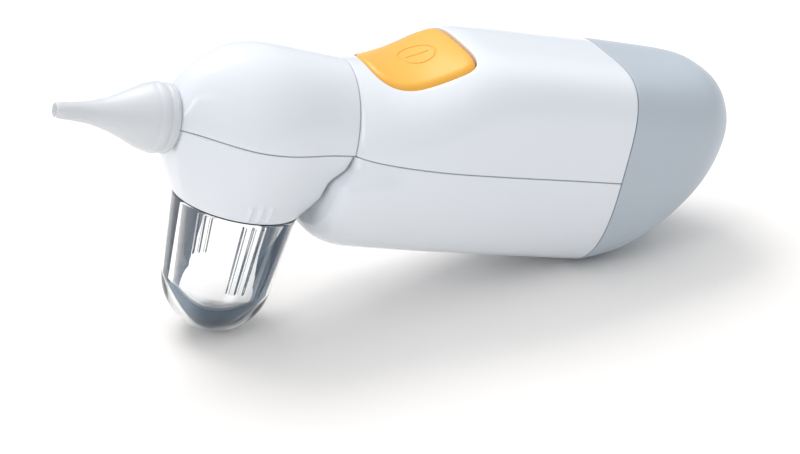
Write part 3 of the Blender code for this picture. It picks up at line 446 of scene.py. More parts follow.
def make_head_upper(mat):
    middle = np.concatenate([np.linspace(-20.7, -16.0, 14), np.linspace(-15.4, 19.0, 56)])
    stations = rolled_stations(NOZZLE_FACE, HEAD_REAR, middle, ROLL)
    outer = [head_arc(u, inset, ROLL) for u, inset in stations]
    inner_u = np.linspace(NOZZLE_FACE + 1.7, HEAD_REAR - HEAD_WALL, len(stations))
    inner = [head_arc(u, HEAD_WALL) for u in inner_u]
    shell = half_shell("head_top", outer, inner, rear_wall=True)
    cut(shell, cylinder("hole", (-23, 0, 0), (-15, 0, 0), SPIGOT_HOLE),
        cylinder("hole", (14, 0, PORT_W), (23, 0, PORT_W), PORT_HOLE))
    return finish_piece(shell, "head", ["head_upper_shell"], mat)


def plan_radii(angles):
    """Distance from the cup's axis to the head's outline on the parting plane, at each angle."""
    cosine, sine = np.cos(angles), np.abs(np.sin(angles))
    low, high = np.zeros(len(angles)), np.full(len(angles), 30.0)
    for _ in range(40):
        middle = (low + high) / 2.0
        u = middle * cosine
        outside = (u > HEAD_REAR) | (u < NOZZLE_FACE) | (middle * sine > head_half_width(u))
        low, high = np.where(outside, low, middle), np.where(outside, middle, high)
    return low


def round_blur(values, sigma):
    """Gaussian blur of values that go once round, sigma in samples."""
    reach = int(4 * sigma) + 1
    weights = np.exp(-0.5 * (np.arange(-reach, reach + 1) / sigma) ** 2)
    weights /= weights.sum()
    return np.convolve(np.concatenate([values[-reach:], values, values[:reach]]), weights, mode='valid')


RING_COUNT = 288
RING_ANGLES = np.linspace(0.0, 2.0 * math.pi, RING_COUNT, endpoint=False)
PLAN = plan_radii(RING_ANGLES)
FLARE_POWER = round_blur(FLARE_POWER_SIDE + (FLARE_POWER_FRONT - FLARE_POWER_SIDE)
                         * np.maximum(-np.cos(RING_ANGLES), 0.0), 8.0)


def head_low_radii(w, inset=0.0):
    """Radii of a level section of the head below the parting line."""
    drop = np.clip(w / COLLAR_RIM, 0.0, 1.0)
    rear = HEAD_REAR - (CHIN_REACH[0][1] + 0.6) * ease((-w - CHIN_TOP) / CHIN_BLEND)
    radii = COLLAR_RADIUS + (PLAN - COLLAR_RADIUS) * (1.0 - drop ** FLARE_POWER)
    facing = np.cos(RING_ANGLES)
    limit = np.where(facing > 0.1, max(rear, COLLAR_RADIUS) / np.maximum(facing, 0.1), 99.0)
    return round_blur(np.minimum(radii, limit), 1.3) - inset


def collar_rib(w, angles):
    """How far the collar's short ribs stand out at height w."""
    stand = np.zeros(len(angles))
    lift = step_ease((w + 18.2) / 0.6) * step_ease((-13.0 - w) / 1.6)
    for k in (-1, 0, 1):
        offset = COLLAR_RADIUS * np.cos(angles) - (RIB_U + RIB_PITCH * k)
        stand += 0.5 * lift * np.exp(-(offset / 0.5) ** 4)
    return stand


def low_ring(w, radii):
    return np.stack([radii * np.cos(RING_ANGLES), radii * np.sin(RING_ANGLES),
                     np.full(RING_COUNT, w)], axis=1)


def make_head_lower(mat):
    skin = Skin()
    levels = [(-HALF_GAP - ROLL * lift, ROLL * inset) for inset, lift in reversed(ROLL_STEPS)]
    heights = np.concatenate([np.linspace(-0.8, -10.5, 30), np.linspace(-10.9, -18.1, 30)])
    levels += [(w, 0.0) for w in heights]
    levels += [(COLLAR_RIM + 0.2 * lift, 0.2 * inset) for inset, lift in ROLL_STEPS]
    outer = [low_ring(w, head_low_radii(w, inset) + collar_rib(w, RING_ANGLES)) for w, inset in levels]
    rows = skin.grid(outer, closed=True)
    bore = np.full(RING_COUNT, COLLAR_BORE)
    inner = [low_ring(COLLAR_RIM, bore), low_ring(-9.9, bore)]
    for w in np.linspace(-9.8, -HALF_GAP, 14):
        inner.append(low_ring(w, np.maximum(head_low_radii(w, HEAD_WALL), 13.2)
                              if w < -9.0 else head_low_radii(w, HEAD_WALL)))
    inside = skin.grid(inner, closed=True)
    skin.strip(rows[-1], inside[0], closed=True)
    skin.strip(inside[-1], rows[0], closed=True)
    shell = skin.build("head_base")
    cut(shell, cylinder("hole", (-23, 0, 0), (-15, 0, 0), SPIGOT_HOLE))
    return finish_piece(shell, "head", ["head_lower_shell"], mat, 32.0)


def make_tip(mat):
    forward = softened(TIP_OUTER, 1.2, 0.15, 0.03)
    outer_z = np.concatenate([np.linspace(21.3, 29.0, 60), np.linspace(29.3, 48.4, 48),
                              [48.6, 48.75, 48.88, 48.96]])
    outer = [(float(forward(z)), z) for z in outer_z] + [(1.72, 49.0)]
    bore = softened(TIP_INNER, 1.0)
    inner = [(float(bore(z)), z) for z in np.linspace(49.0, 21.3, 50)]
    tip = revolved("nose_tip", outer + inner, axis='u', steps=112)
    return finish_piece(tip, "tip", ["silicone_tip"], mat, 50.0)


def make_spigot(mat):
    profile = [(3.8, 29.4), (4.05, 29.25), (4.15, 29.0), (SPIGOT_RADIUS, 21.8), (SPIGOT_RADIUS, 18.2),
               (6.0, 18.2), (6.0, 16.9), (SPIGOT_RADIUS, 16.9), (SPIGOT_RADIUS, 13.0), (SPIGOT_BORE, 13.0),
               (SPIGOT_BORE, 29.1), (SPIGOT_BORE + 0.3, 29.4)]
    spigot = revolved("nozzle_stub", profile, axis='u', steps=72)
    return finish_piece(spigot, "head", ["nozzle_spigot"], mat)


# ---------------------------------------------------------------- cup

CUP_RIB = 0.38
CUP_RIB_LOW = -37.4
DOME_POWER = 1.6


def cup_angles():
    """Angles round the cup, closer together where its ribs stand."""
    fine = np.radians(np.linspace(78.0, 114.0, 97))
    coarse = np.radians(np.linspace(114.0, 246.0, 60))[1:-1]
    return np.concatenate([fine, coarse, 2.0 * math.pi - fine[::-1],
                           np.radians(np.linspace(282.0, 438.0, 72))[1:-1]])


def make_cup(mat):
    outer = [(NECK_RADIUS - 0.2, NECK_TOP), (NECK_RADIUS, NECK_TOP - 0.2)]
    outer += [(NECK_RADIUS, w) for w in (-14.0, -17.0)]
    outer += [(NECK_RADIUS, -18.7), (CUP_TOP_RADIUS - 0.3, -18.7), (CUP_TOP_RADIUS - 0.09, -18.79),
              (CUP_TOP_RADIUS, CUP_SHOULDER)]
    taper = (CUP_TOP_RADIUS - CUP_LOW_RADIUS) / (CUP_DOME_START - CUP_SHOULDER)
    for w in np.linspace(-19.3, CUP_DOME_START, 70)[:-1]:
        outer.append((CUP_TOP_RADIUS - taper * (w - CUP_SHOULDER), w))
    start = math.atan(-taper)
    radius = CUP_LOW_RADIUS / math.cos(start)
    depth = (CUP_DOME_START - CUP_BOTTOM) / (1.0 - math.sin(start))
    for a in np.linspace(start, 0.5 * math.pi, 40):
        outer.append((radius * math.cos(a), CUP_BOTTOM + depth * (1.0 - math.sin(a))))
    outer[-1] = (0.0, CUP_BOTTOM)

    inner_low = CUP_LOW_RADIUS - CUP_WALL
    floor_w = CUP_BOTTOM + CUP_WALL
    inner = [(0.0, floor_w + 0.55), (0.5, floor_w + 0.5), (0.9, floor_w + 0.3), (1.2, floor_w),
             (2.2, floor_w - 0.1)]
    dome = CUP_DOME_START - floor_w
    for a in np.linspace(0.47 * math.pi, 0.0, 24):
        inner.append((inner_low * math.cos(a) ** (2.0 / DOME_POWER),
                      CUP_DOME_START - dome * math.sin(a) ** (2.0 / DOME_POWER)))
    for w in np.linspace(CUP_DOME_START, -19.6, 70)[1:]:
        inner.append((inner_low - (taper * (w - CUP_DOME_START)) * 0.97, w))
    top_radius = inner[-1][0]
    inner += [(top_radius + (NECK_BORE - top_radius) * t, -19.6 + t) for t in (0.5, 1.0)]
    inner += [(NECK_BORE, w) for w in (-17.0, -14.0)]
    inner += [(NECK_BORE, NECK_TOP - 0.1), (NECK_BORE + 0.1, NECK_TOP)]
    inner_count = len(inner)
    profile = inner + outer

    def ribs(k, angles, w):
        if k < inner_count:
            return np.zeros(len(angles))
        lift = step_ease((w - CUP_RIB_LOW) / 0.5) * step_ease((-19.4 - w) / 0.4)
        rise = np.zeros(len(angles))
        for j in (-1, 0, 1):
            offset = CUP_TOP_RADIUS * np.cos(angles) - (RIB_U + RIB_PITCH * j)
            rise += np.exp(-(offset / 0.42) ** 4)
        return CUP_RIB * lift * rise

    cup = revolved("clear_cup", profile, steps=cup_angles(), bulge=ribs)
    return finish_piece(cup, "cup", ["collection_cup"], mat, 30.0)


# ---------------------------------------------------------------- handle

def handle_stations():
    return np.concatenate([np.linspace(20.0, 26.0, 22), np.linspace(26.5, 56.0, 60),
                           np.linspace(57.0, 87.2, 30)])


def handle_shell(name, side):
    stations = rolled_stations(HANDLE_FRONT, HANDLE_REAR, handle_stations(), ROLL)
    outer = [handle_arc(u, side, inset, ROLL) for u, inset in stations]
    inner = [handle_arc(u, side, HANDLE_WALL) for u in np.linspace(21.7, HANDLE_REAR, len(stations))]
    return half_shell(name, outer, inner)


def top_height(x, y, proud=0.0):
    """Height over the button's plane of the handle's top, raised by proud, in the button's frame."""
    low, high = -12.0, 8.0
    for _ in range(36):
        middle = (low + high) / 2.0
        u, v, w = SLOPE @ Vector((x, y, middle))
        power = float(handle_top_power(u))
        half, top = float(handle_half_width(u)) + proud, float(handle_top(u)) + proud
        outside = (abs(v) / half) ** power + (max(w, 0.0) / top) ** power > 1.0
        low, high = (low, middle) if outside else (middle, high)
    return low


def button_outline(margin=0.0, count=160):
    """Rounded rectangle, squarer and a little wider at the rear, in the slope's own plane."""
    angles = np.linspace(0.0, 2.0 * math.pi, count, endpoint=False)
    cosine, sine = np.cos(angles), np.sin(angles)
    power = 3.2 + 1.8 * ease((cosine + 0.35) / 0.7)
    x = np.sign(cosine) * np.abs(cosine) ** (2.0 / power)
    y = np.sign(sine) * np.abs(sine) ** (2.0 / power) * BUTTON_HALF_WIDTH * (1.0 + BUTTON_TAPER * x)
    x = BUTTON_SHIFT + x * BUTTON_HALF_LENGTH
    outline = np.stack([x, y], axis=1)
    for _ in range(3):
        around = np.roll(outline, 1, axis=0) + np.roll(outline, -1, axis=0)
        outline = 0.5 * outline + 0.25 * around
    ahead = np.roll(outline, -1, axis=0) - np.roll(outline, 1, axis=0)
    normal = np.stack([ahead[:, 1], -ahead[:, 0]], axis=1)
    normal /= np.linalg.norm(normal, axis=1)[:, None]
    return outline + margin * normal


def pocket_cutter():
    """Cutter of the button's pocket, whose mouth flares a little where it meets the surface."""
    skin = Skin()
    rows = [[(x, y, WELL_FLOOR) for x, y in button_outline()]]
    for margin, lift in ((0.0, -0.42), (0.05, -0.2), (0.18, -0.06), (0.42, 0.02), (0.9, 0.1)):
        ring = []
        for x, y in button_outline(margin):
            ring.append((x, y, top_height(x, y) + lift))
        rows.append(ring)
    rows.append([(x, y, 12.0) for x, y in button_outline(0.9)])
    indices = skin.grid(rows, closed=True)
    skin.faces.append(tuple(indices[0]))
    skin.faces.append(tuple(indices[-1]))
    return skin.build("pocket", SLOPE)


def make_handle_upper(mat):
    shell = handle_shell("handle_top", 1)
    well = Skin()
    rows = well.grid([[(x, y, z) for x, y in button_outline(1.5, 96)] for z in (WELL_UNDER, 8.0)],
                     closed=True)
    well.faces.append(tuple(rows[0]))
    well.faces.append(tuple(rows[1]))
    well = well.build("well", SLOPE)
    limit = Skin()
    arcs = [handle_arc(u, 1, 0.7, count=20) for u in np.linspace(21.0, 60.0, 24)]
    indices = limit.grid(arcs)
    limit.cross_cap(indices[0])
    limit.cross_cap(indices[-1])
    limit.strip([row[0] for row in indices], [row[-1] for row in indices])
    limit = limit.build("limit")
    combine(well, limit, 'INTERSECT')
    combine(shell, well, 'UNION')
    cut(shell, pocket_cutter(),
        cylinder("hole", (SWITCH_X, 0, -8), (SWITCH_X, 0, 0), 2.0, matrix=SLOPE),
        cylinder("hole", (18, 0, PORT_W), (23, 0, PORT_W), PORT_HOLE),
        cylinder("hole", (18, 0, PORT_W), (21.1, 0, PORT_W), 5.25))
    return finish_piece(shell, "handle", ["handle_upper_shell"], mat)


def make_handle_lower(mat):
    shell = handle_shell("handle_base", -1)
    return finish_piece(shell, "handle", ["handle_lower_shell"], mat)


def icon_tube(points, closed):
    """Thin tube along points on the button's top, that cuts one line of its power icon."""
    skin = Skin()
    rings = []
    count = len(points)
    for i, point in enumerate(points):
        if closed:
            ahead = points[(i + 1) % count] - points[i - 1]
        else:
            ahead = points[min(i + 1, count - 1)] - points[max(i - 1, 0)]
        side = ahead.cross(Vector((0, 0, 1))).normalized()
        up = side.cross(ahead).normalized()
        rings.append([point + ICON_LINE * (math.cos(a) * side + 0.8 * math.sin(a) * up)
                      for a in np.linspace(0.0, 2.0 * math.pi, 10, endpoint=False)])
    rows = skin.grid(rings, closed=True)
    if closed:
        skin.strip(rows[-1], rows[0], closed=True)
    else:
        skin.faces.append(tuple(rows[0]))
        skin.faces.append(tuple(rows[-1]))
    return skin.build("icon", SLOPE)


def make_button(mat):
    skin = Skin()
    edge = button_outline(-BUTTON_GAP)
    rows = [[(x, y, BUTTON_UNDER) for x, y in edge]]
    tops = np.array([top_height(x, y, BUTTON_PROUD) for x, y in edge])
    low_side = np.maximum(tops - BUTTON_EDGE, BUTTON_UNDER + 0.4)
    rows.append([(x, y, z - 0.3) for (x, y), z in zip(edge, low_side)])
    for a in np.linspace(0.0, 0.5 * math.pi, 10):
        inset = BUTTON_EDGE * (1.0 - math.cos(a))
        sag = BUTTON_EDGE * (1.0 - math.sin(a))
        ring = button_outline(-BUTTON_GAP - inset)
        rows.append([(x, y, max(top_height(x, y, BUTTON_PROUD) - sag, BUTTON_UNDER + 0.45))
                     for x, y in ring])
    last = button_outline(-BUTTON_GAP - BUTTON_EDGE)
    for share in np.linspace(0.96, 0.04, 24):
        rows.append([(x * share, y * share, top_height(x * share, y * share, BUTTON_PROUD))
                     for x, y in last])
    indices = skin.grid(rows, closed=True)
    skin.faces.append(tuple(indices[0]))
    skin.fan(indices[-1], (0.0, 0.0, top_height(0.0, 0.0, BUTTON_PROUD)))
    button = skin.build("power_key", SLOPE)

    seat = revolved("seat", [(6.4, -1.4), (6.4, -5.0), (3.4, -5.0), (3.4, -1.4)], steps=48, matrix=SLOPE)

    def on_top(x, y):
        return Vector((x, y, top_height(x, y, BUTTON_PROUD)))

    ring = [on_top(ICON_RADIUS * math.cos(a), ICON_RADIUS * math.sin(a))
            for a in np.linspace(0.0, 2.0 * math.pi, 90, endpoint=False)]
    bar = [on_top(x, 0.0) for x in np.linspace(-ICON_BAR / 2.0, ICON_BAR / 2.0, 24)]
    cut(button, seat, icon_tube(ring, True), icon_tube(bar, False))
    return finish_piece(button, "button", ["power_button"], mat)


# ---------------------------------------------------------------- battery cover

def cover_curves():
    """Softened curves of the six rib values against the rib's number; the end pole is the last."""
    columns = list(zip(*COVER_RIBS))
    ends = (COVER_END_U, COVER_END_W, COVER_END_U, -COVER_END_W, 0.0, COVER_END_W)
    parities = ((-1, 1), (-1, -1), (-1, 1), (-1, -1), (-1, -1), (-1, 1))
    curves = []
    for values, end, parity in zip(columns, ends, parities):
        points = list(enumerate(values)) + [(len(values), end)]
        curves.append(softened(points, 0.55, 0.1, 0.3, parity))
    return curves


COVER_CURVES = cover_curves()


def cover_ring(s, inset=0.0, count=136):
    """Leaning section of the battery cover at rib number s, which need not be whole."""
    top_u, top_w, low_u, low_w, half, middle = (float(curve(s)) for curve in COVER_CURVES)
    progress = step_ease((top_u - COVER_FRONT) / (COVER_RIBS[-1][0] - COVER_FRONT))
    top_power = 4.0 + (2.2 - 4.0) * progress
    low_power = LOW_POWER + (2.2 - LOW_POWER) * progress
    upper = np.concatenate([[0.0], arc_parameters(count // 4, top_power)])
    lower = np.concatenate([[0.0], arc_parameters(count // 4, low_power)])
    angles = np.concatenate([upper, math.pi - upper[-2::-1], math.pi + lower[1:],
                             2.0 * math.pi - lower[-2:0:-1]])
    rise, run = np.sin(angles), np.cos(angles)
    power = np.where(rise >= -1e-9, top_power, low_power)
    lift = np.sign(rise) * np.abs(rise) ** (2.0 / power)
    across = np.sign(run) * np.abs(run) ** (2.0 / power)
    across[np.abs(run) < 1e-9] = 0.0
    w = middle + lift * (np.where(rise >= 0.0, top_w - middle, low_w + middle) - inset)
    w = soft_floor(w, FLAT_CUT - low_w + inset, 0.9 * min(1.0, (top_w + low_w) / 30.0))
    lean = (top_w - w) / (top_w + low_w)
    return np.stack([top_u + (low_u - top_u) * lean, (half - inset) * across, w], axis=1)


def make_battery_cover(mat):
    skin = Skin()
    roll = 0.16
    rings = [cover_ring(s) for s in np.linspace(9.9, 0.06, 96)]
    for inset, lift in ROLL_STEPS:
        ring = cover_ring(0.0, roll * inset)
        ring[:, 0] = COVER_FRONT + roll * lift
        rings.append(ring)
    lip = cover_ring(0.0, LIP_INSET)
    lip_inside = cover_ring(0.0, LIP_INSET + LIP_WALL)
    for u in (COVER_FRONT, (COVER_FRONT + LIP_FRONT) / 2.0, LIP_FRONT + 0.25):
        rings.append(np.stack([np.full(len(lip), u), lip[:, 1], lip[:, 2]], axis=1))
    chamfer = cover_ring(0.0, LIP_INSET + 0.25)
    rings.append(np.stack([np.full(len(lip), LIP_FRONT), chamfer[:, 1], chamfer[:, 2]], axis=1))
    for u in (LIP_FRONT, COVER_FRONT):
        rings.append(np.stack([np.full(len(lip), u), lip_inside[:, 1], lip_inside[:, 2]], axis=1))
    for s in np.linspace(0.5, 8.0, 30):
        rings.append(cover_ring(s, LIP_INSET + LIP_WALL if s < 1.0 else COVER_WALL))
    rows = skin.grid(rings, closed=True)
    skin.fan(rows[0], (COVER_END_U, 0.0, COVER_END_W))
    floor = rings[-1].mean(axis=0)
    skin.fan(rows[-1], (floor[0] + 0.3, 0.0, floor[2]))
    cover = skin.build("rear_cap")
    combine(cover, block("stop", (115.1, -5.0, 1.0), (119.0, 5.0, 7.0)), 'UNION')
    return finish_piece(cover, "cover", ["battery_cover"], mat)


# ---------------------------------------------------------------- materials

def new_material(name):
    mat = bpy.data.materials.new(name)
    mat.use_nodes = True
    tree = mat.node_tree
    return mat, tree, tree.nodes["Principled BSDF"]


def link_noise(tree, scale, detail=2.0):
    """Noise texture over the object's own coordinates; scale is in cycles a metre."""
    noise = tree.nodes.new("ShaderNodeTexNoise")
    noise.inputs["Scale"].default_value = scale
    noise.inputs["Detail"].default_value = detail
    coords = tree.nodes.new("ShaderNodeTexCoord").outputs["Object"]
    tree.links.new(coords, noise.inputs["Vector"])
    return noise


def link_range(tree, value, low, high):
    """Map a 0.3 to 0.7 noise value to low to high."""
    scale = tree.nodes.new("ShaderNodeMapRange")
    scale.inputs["From Min"].default_value = 0.3
    scale.inputs["From Max"].default_value = 0.7
    scale.inputs["To Min"].default_value = low
    scale.inputs["To Max"].default_value = high
    tree.links.new(value, scale.inputs["Value"])
    return scale.outputs["Result"]


def link_colour(tree, value, one, other):
    ramp = tree.nodes.new("ShaderNodeValToRGB")
    ramp.color_ramp.elements[0].position = 0.3
    ramp.color_ramp.elements[0].color = (*one, 1.0)
    ramp.color_ramp.elements[1].position = 0.7
    ramp.color_ramp.elements[1].color = (*other, 1.0)
    tree.links.new(value, ramp.inputs["Fac"])
    return ramp.outputs["Color"]


def link_bump(tree, shader, height, strength, distance=0.0001):
    bump = tree.nodes.new("ShaderNodeBump")
    bump.inputs["Strength"].default_value = strength
    bump.inputs["Distance"].default_value = distance
    tree.links.new(height, bump.inputs["Height"])
    tree.links.new(bump.outputs["Normal"], shader.inputs["Normal"])


def moulded(name, colour, roughness, grain=0.0, grain_scale=3500.0, metallic=0.0, variation=0.02, **sockets):
    """Moulded or machined surface: slight cloudiness in colour and gloss, and a fine grain if asked."""
    mat, tree, shader = new_material(name)
    cloud = link_noise(tree, 45.0, 3.0)
    one = tuple(c * (1.0 - variation) for c in colour)
    other = tuple(min(c * (1.0 + variation), 1.0) for c in colour)
    tree.links.new(link_colour(tree, cloud.outputs["Fac"], one, other), shader.inputs["Base Color"])
    smudge = link_noise(tree, 160.0, 4.0)
    rough = link_range(tree, smudge.outputs["Fac"], roughness * 0.9, roughness * 1.12)
    tree.links.new(rough, shader.inputs["Roughness"])
    shader.inputs["Metallic"].default_value = metallic
    if grain:
        link_bump(tree, shader, link_noise(tree, grain_scale, 2.0).outputs["Fac"], grain)
    for socket, value in sockets.items():
        shader.inputs[socket.replace("_", " ")].default_value = value
    return mat


def clear_material(name, colour, roughness, ior, transmission=1.0, haze=0.3, **sockets):
    mat, tree, shader = new_material(name)
    cloud = link_noise(tree, 220.0, 3.0)
    tree.links.new(link_range(tree, cloud.outputs["Fac"], roughness * (1.0 - haze), roughness * (1.0 + haze)),
                   shader.inputs["Roughness"])
    tint = link_noise(tree, 60.0)
    other = tuple(c * 0.995 for c in colour)
    tree.links.new(link_colour(tree, tint.outputs["Fac"], other, colour), shader.inputs["Base Color"])
    shader.inputs["Transmission Weight"].default_value = transmission
    shader.inputs["IOR"].default_value = ior
    for socket, value in sockets.items():
        shader.inputs[socket.replace("_", " ")].default_value = value
    return mat


def make_materials():
    return {
        "gloss_white": moulded("gloss_white", (0.79, 0.82, 0.86), 0.16, grain=0.03, grain_scale=700.0,
                               variation=0.004),
        "satin_grey": moulded("satin_grey", (0.475, 0.53, 0.585), 0.38, grain=0.12, grain_scale=2600.0,
                              variation=0.012),
        "amber_plastic": moulded("amber_plastic", (0.90, 0.45, 0.055), 0.36, grain=0.08, grain_scale=2600.0,
                                 variation=0.015),
        "clear_plastic": clear_material("clear_plastic", (0.985, 0.992, 1.0), 0.02, 1.49),
        "silicone": clear_material("silicone", (0.87, 0.89, 0.92), 0.34, 1.41, 0.3, haze=0.05,
                                   Subsurface_Weight=0.35, Subsurface_Scale=0.004,
                                   Subsurface_Radius=(1.0, 1.0, 1.0)),
        "clear_hose": clear_material("clear_hose", (0.92, 0.94, 0.94), 0.2, 1.41, 0.8),
        "black_rubber": moulded("black_rubber", (0.025, 0.025, 0.027), 0.62, grain=0.3, variation=0.15),
        "grey_plastic": moulded("grey_plastic", (0.30, 0.31, 0.33), 0.5, grain=0.2, variation=0.04),
        "black_plastic": moulded("black_plastic", (0.022, 0.022, 0.025), 0.42, grain=0.2, variation=0.1),
        "board_green": moulded("board_green", (0.02, 0.16, 0.06), 0.35, grain=0.15, grain_scale=1500.0,
                               variation=0.12),
        "can_steel": moulded("can_steel", (0.60, 0.61, 0.62), 0.3, grain=0.1, metallic=1.0, variation=0.04),
        "spring_steel": moulded("spring_steel", (0.55, 0.55, 0.56), 0.26, grain=0.1, metallic=1.0,
                                variation=0.05),
        "magnet": moulded("magnet", (0.10, 0.10, 0.11), 0.5, grain=0.3, metallic=0.6, variation=0.1),
        "brass": moulded("brass", (0.74, 0.55, 0.25), 0.3, grain=0.15, metallic=1.0, variation=0.05),
        "copper_winding": moulded("copper_winding", (0.72, 0.30, 0.14), 0.36, grain=0.5, metallic=1.0,
                                  variation=0.1),
        "nickel": moulded("nickel", (0.70, 0.68, 0.63), 0.26, grain=0.1, metallic=1.0, variation=0.04),
        "cell_jacket": moulded("cell_jacket", (0.03, 0.08, 0.20), 0.32, grain=0.05, metallic=0.3,
                               variation=0.08),
        "wire_red": moulded("wire_red", (0.50, 0.02, 0.02), 0.45, grain=0.1, variation=0.05),
        "wire_black": moulded("wire_black", (0.02, 0.02, 0.02), 0.45, grain=0.1, variation=0.1),
    }


# ---------------------------------------------------------------- stage

CAMERA_TURN = math.radians(30.0)
CAMERA_RISE = math.radians(20.0)
CAMERA_ROLL = math.radians(-14.57)
CAMERA_TARGET = (44.56, 0.0, -23.32)
CAMERA_DISTANCE = 800.0
CAMERA_LENS = 151.2


def make_camera():
    """Camera in front of the device's left side, set in the device's own frame."""
    camera = bpy.data.objects.new("camera", bpy.data.cameras.new("camera"))
    bpy.context.scene.collection.objects.link(camera)
    ahead = Vector((math.sin(CAMERA_TURN) * math.cos(CAMERA_RISE),
                    math.cos(CAMERA_TURN) * math.cos(CAMERA_RISE), -math.sin(CAMERA_RISE)))
    level = Vector((math.cos(CAMERA_TURN), -math.sin(CAMERA_TURN), 0.0))
    upright = level.cross(ahead)
    right = level * math.cos(CAMERA_ROLL) - upright * math.sin(CAMERA_ROLL)
    up = level * math.sin(CAMERA_ROLL) + upright * math.cos(CAMERA_ROLL)
    turn = Matrix((right, up, -ahead)).transposed()
    place = (Vector(CAMERA_TARGET) - CAMERA_DISTANCE * ahead) * MM
    camera.matrix_world = DEVICE @ Matrix.Translation(place) @ turn.to_4x4()
    camera.data.lens = CAMERA_LENS
    camera.data.sensor_width = 36.0
    camera.data.clip_start = 0.01
    camera.data.clip_end = 50.0
    bpy.context.scene.camera = camera


def make_floor():
    mesh = bpy.data.meshes.new("floor")
    reach = 6.0
    mesh.from_pydata([(-reach, -reach, 0), (reach, -reach, 0), (reach, reach, 0), (-reach, reach, 0)], [],
                     [(0, 1, 2, 3)])
    floor = bpy.data.objects.new("floor", mesh)
    floor.location.z = -0.0002
    bpy.context.scene.collection.objects.link(floor)
    mat, tree, shader = new_material("floor")
    shader.inputs["Base Color"].default_value = (0.93, 0.905, 0.88, 1.0)
    shader.inputs["Roughness"].default_value = 0.9
    shader.inputs["Specular IOR Level"].default_value = 0.1
    mesh.materials.append(mat)


def area_light(name, place, target, size, power, colour=(1.0, 1.0, 1.0)):
    data = bpy.data.lights.new(name, 'AREA')
    data.shape = 'RECTANGLE'
    data.size, data.size_y = size
    data.energy = power
    data.color = colour
    light = bpy.data.objects.new(name, data)
    bpy.context.scene.collection.objects.link(light)
    light.location = place
    light.rotation_euler = (Vector(target) - Vector(place)).to_track_quat('-Z', 'Y').to_euler()


def make_world():
    """Pale sky: brightest overhead and a little cooler and darker towards the horizon."""
    world = bpy.data.worlds.new("studio")
    bpy.context.scene.world = world
    world.use_nodes = True
    tree = world.node_tree
    background = tree.nodes["Background"]
    coords = tree.nodes.new("ShaderNodeTexCoord")
    split = tree.nodes.new("ShaderNodeSeparateXYZ")
    tree.links.new(coords.outputs["Generated"], split.inputs["Vector"])
    ramp = tree.nodes.new("ShaderNodeValToRGB")
    ramp.color_ramp.elements[0].position = 0.0
    ramp.color_ramp.elements[0].color = (0.27, 0.31, 0.36, 1.0)
    ramp.color_ramp.elements[1].position = 0.95
    ramp.color_ramp.elements[1].color = (1.0, 1.0, 1.0, 1.0)
    tree.links.new(split.outputs["Z"], ramp.inputs["Fac"])
    tree.links.new(ramp.outputs["Color"], background.inputs["Color"])
    background.inputs["Strength"].default_value = 1.06


def make_lights():
    area_light("key_softbox", (-0.12, 0.58, 0.88), (0.0, 0.0, 0.02), (0.7, 0.6), 6.2)
    area_light("side_strip", (-0.75, -0.35, 0.45), (0.0, 0.0, 0.04), (0.12, 0.6), 1.0, (0.96, 0.98, 1.0))


CARD_WALL = 21.0
CARD_HEIGHT = 36.0
CARD_DEPTH = 80.0
CARD_CLEAR = 15.5
CARD_BEND = 14.0
CARD_LIFT = 0.4
CARD_REACH = 40.0
CARD_RIMS = ((CARD_CLEAR, 14.5), (CARD_REACH, 44.0))
SIDE_CARDS = 4


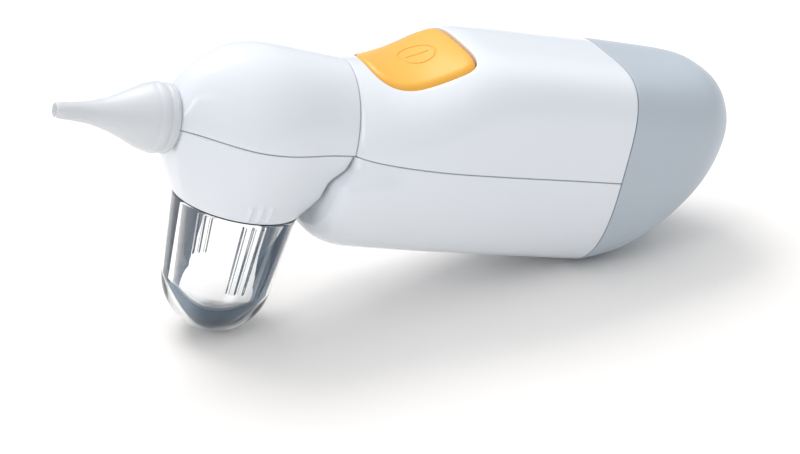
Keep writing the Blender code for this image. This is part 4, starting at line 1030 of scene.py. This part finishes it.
def card_corners():
    """Corners of each card of painted dark refraction round the cup in mm: across the view, away from the camera,
    up.
    """
    cards = []
    for side, start in ((-1.0, 9.0), (1.0, 6.0)):
        x = side * CARD_WALL
        near, far = side * CARD_CLEAR, side * CARD_REACH
        cards.append([(x, start, CARD_LIFT), (x, CARD_DEPTH, CARD_LIFT),
                      (x, CARD_DEPTH, CARD_HEIGHT), (x, start, CARD_HEIGHT)])
        cards.append([(near, CARD_BEND, CARD_LIFT), (far, CARD_BEND, CARD_LIFT),
                      (far, CARD_DEPTH, CARD_LIFT), (near, CARD_DEPTH, CARD_LIFT)])
    angles = np.linspace(math.pi, 2.0 * math.pi, 33)
    rims = [[(reach * math.cos(a), CARD_BEND + depth * math.sin(a), CARD_LIFT) for a in angles]
            for reach, depth in CARD_RIMS]
    for i in range(len(angles) - 1):
        cards.append([rims[0][i], rims[0][i + 1], rims[1][i + 1], rims[1][i]])
    return cards


def make_painted_refraction_cards():
    """Dark cards that only light through clear pieces meets; they are painted shade that makes the cup's dark
    refraction bands.

    They are set for the main camera and look wrong from other sides. Nothing else needs them.
    """
    shades = []
    # Painted shade: near-black and slate sheets, seen only through the cup, stand in for its dark refraction
    # bands.
    for name, colour in (("painted_shade_side_card", (0.045, 0.075, 0.11, 1.0)),
                         ("painted_shade_front_card", (0.13, 0.18, 0.23, 1.0))):
        mat, tree, shader = new_material(name)
        shader.inputs["Base Color"].default_value = colour
        shader.inputs["Roughness"].default_value = 1.0
        shader.inputs["Specular IOR Level"].default_value = 0.0
        shades.append(mat)
    foot = DEVICE @ (Vector((0.0, 0.0, CUP_BOTTOM)) * MM)
    across = Vector((math.cos(CAMERA_TURN), -math.sin(CAMERA_TURN), 0.0)) * MM
    away = Vector((math.sin(CAMERA_TURN), math.cos(CAMERA_TURN), 0.0)) * MM
    points = [Vector((foot.x, foot.y, z * MM)) + x * across + y * away
              for card in card_corners() for x, y, z in card]
    mesh = bpy.data.meshes.new("painted_refraction_cards")
    mesh.from_pydata(points, [], [tuple(range(i, i + 4)) for i in range(0, len(points), 4)])
    for mat in shades:
        mesh.materials.append(mat)
    for face in mesh.polygons:
        face.material_index = 0 if face.index < SIDE_CARDS else 1
    cards = bpy.data.objects.new("painted_refraction_cards", mesh)
    bpy.context.scene.collection.objects.link(cards)
    # Hidden from camera, diffuse, glossy and shadow rays, so the cards only paint dark refraction into what is
    # seen through the cup.
    cards.visible_camera = False
    cards.visible_diffuse = False
    cards.visible_glossy = False
    cards.visible_shadow = False


materials = make_materials()
for part in frame["record"]["subparts"]:
    node = frame["nodes"][part["node"]]
    node.data.materials.clear()
    node.data.materials.append(materials[part["material_slot"]])

make_head_upper(materials["gloss_white"])
make_head_lower(materials["gloss_white"])
make_spigot(materials["gloss_white"])
make_tip(materials["silicone"])
make_cup(materials["clear_plastic"])
make_handle_upper(materials["gloss_white"])
make_handle_lower(materials["gloss_white"])
make_button(materials["amber_plastic"])
make_battery_cover(materials["satin_grey"])

make_camera()
make_floor()
make_world()
make_lights()
# Painted dark refraction bands in the cup, set for the main camera.
make_painted_refraction_cards()
bpy.context.scene.view_settings.view_transform = 'Standard'
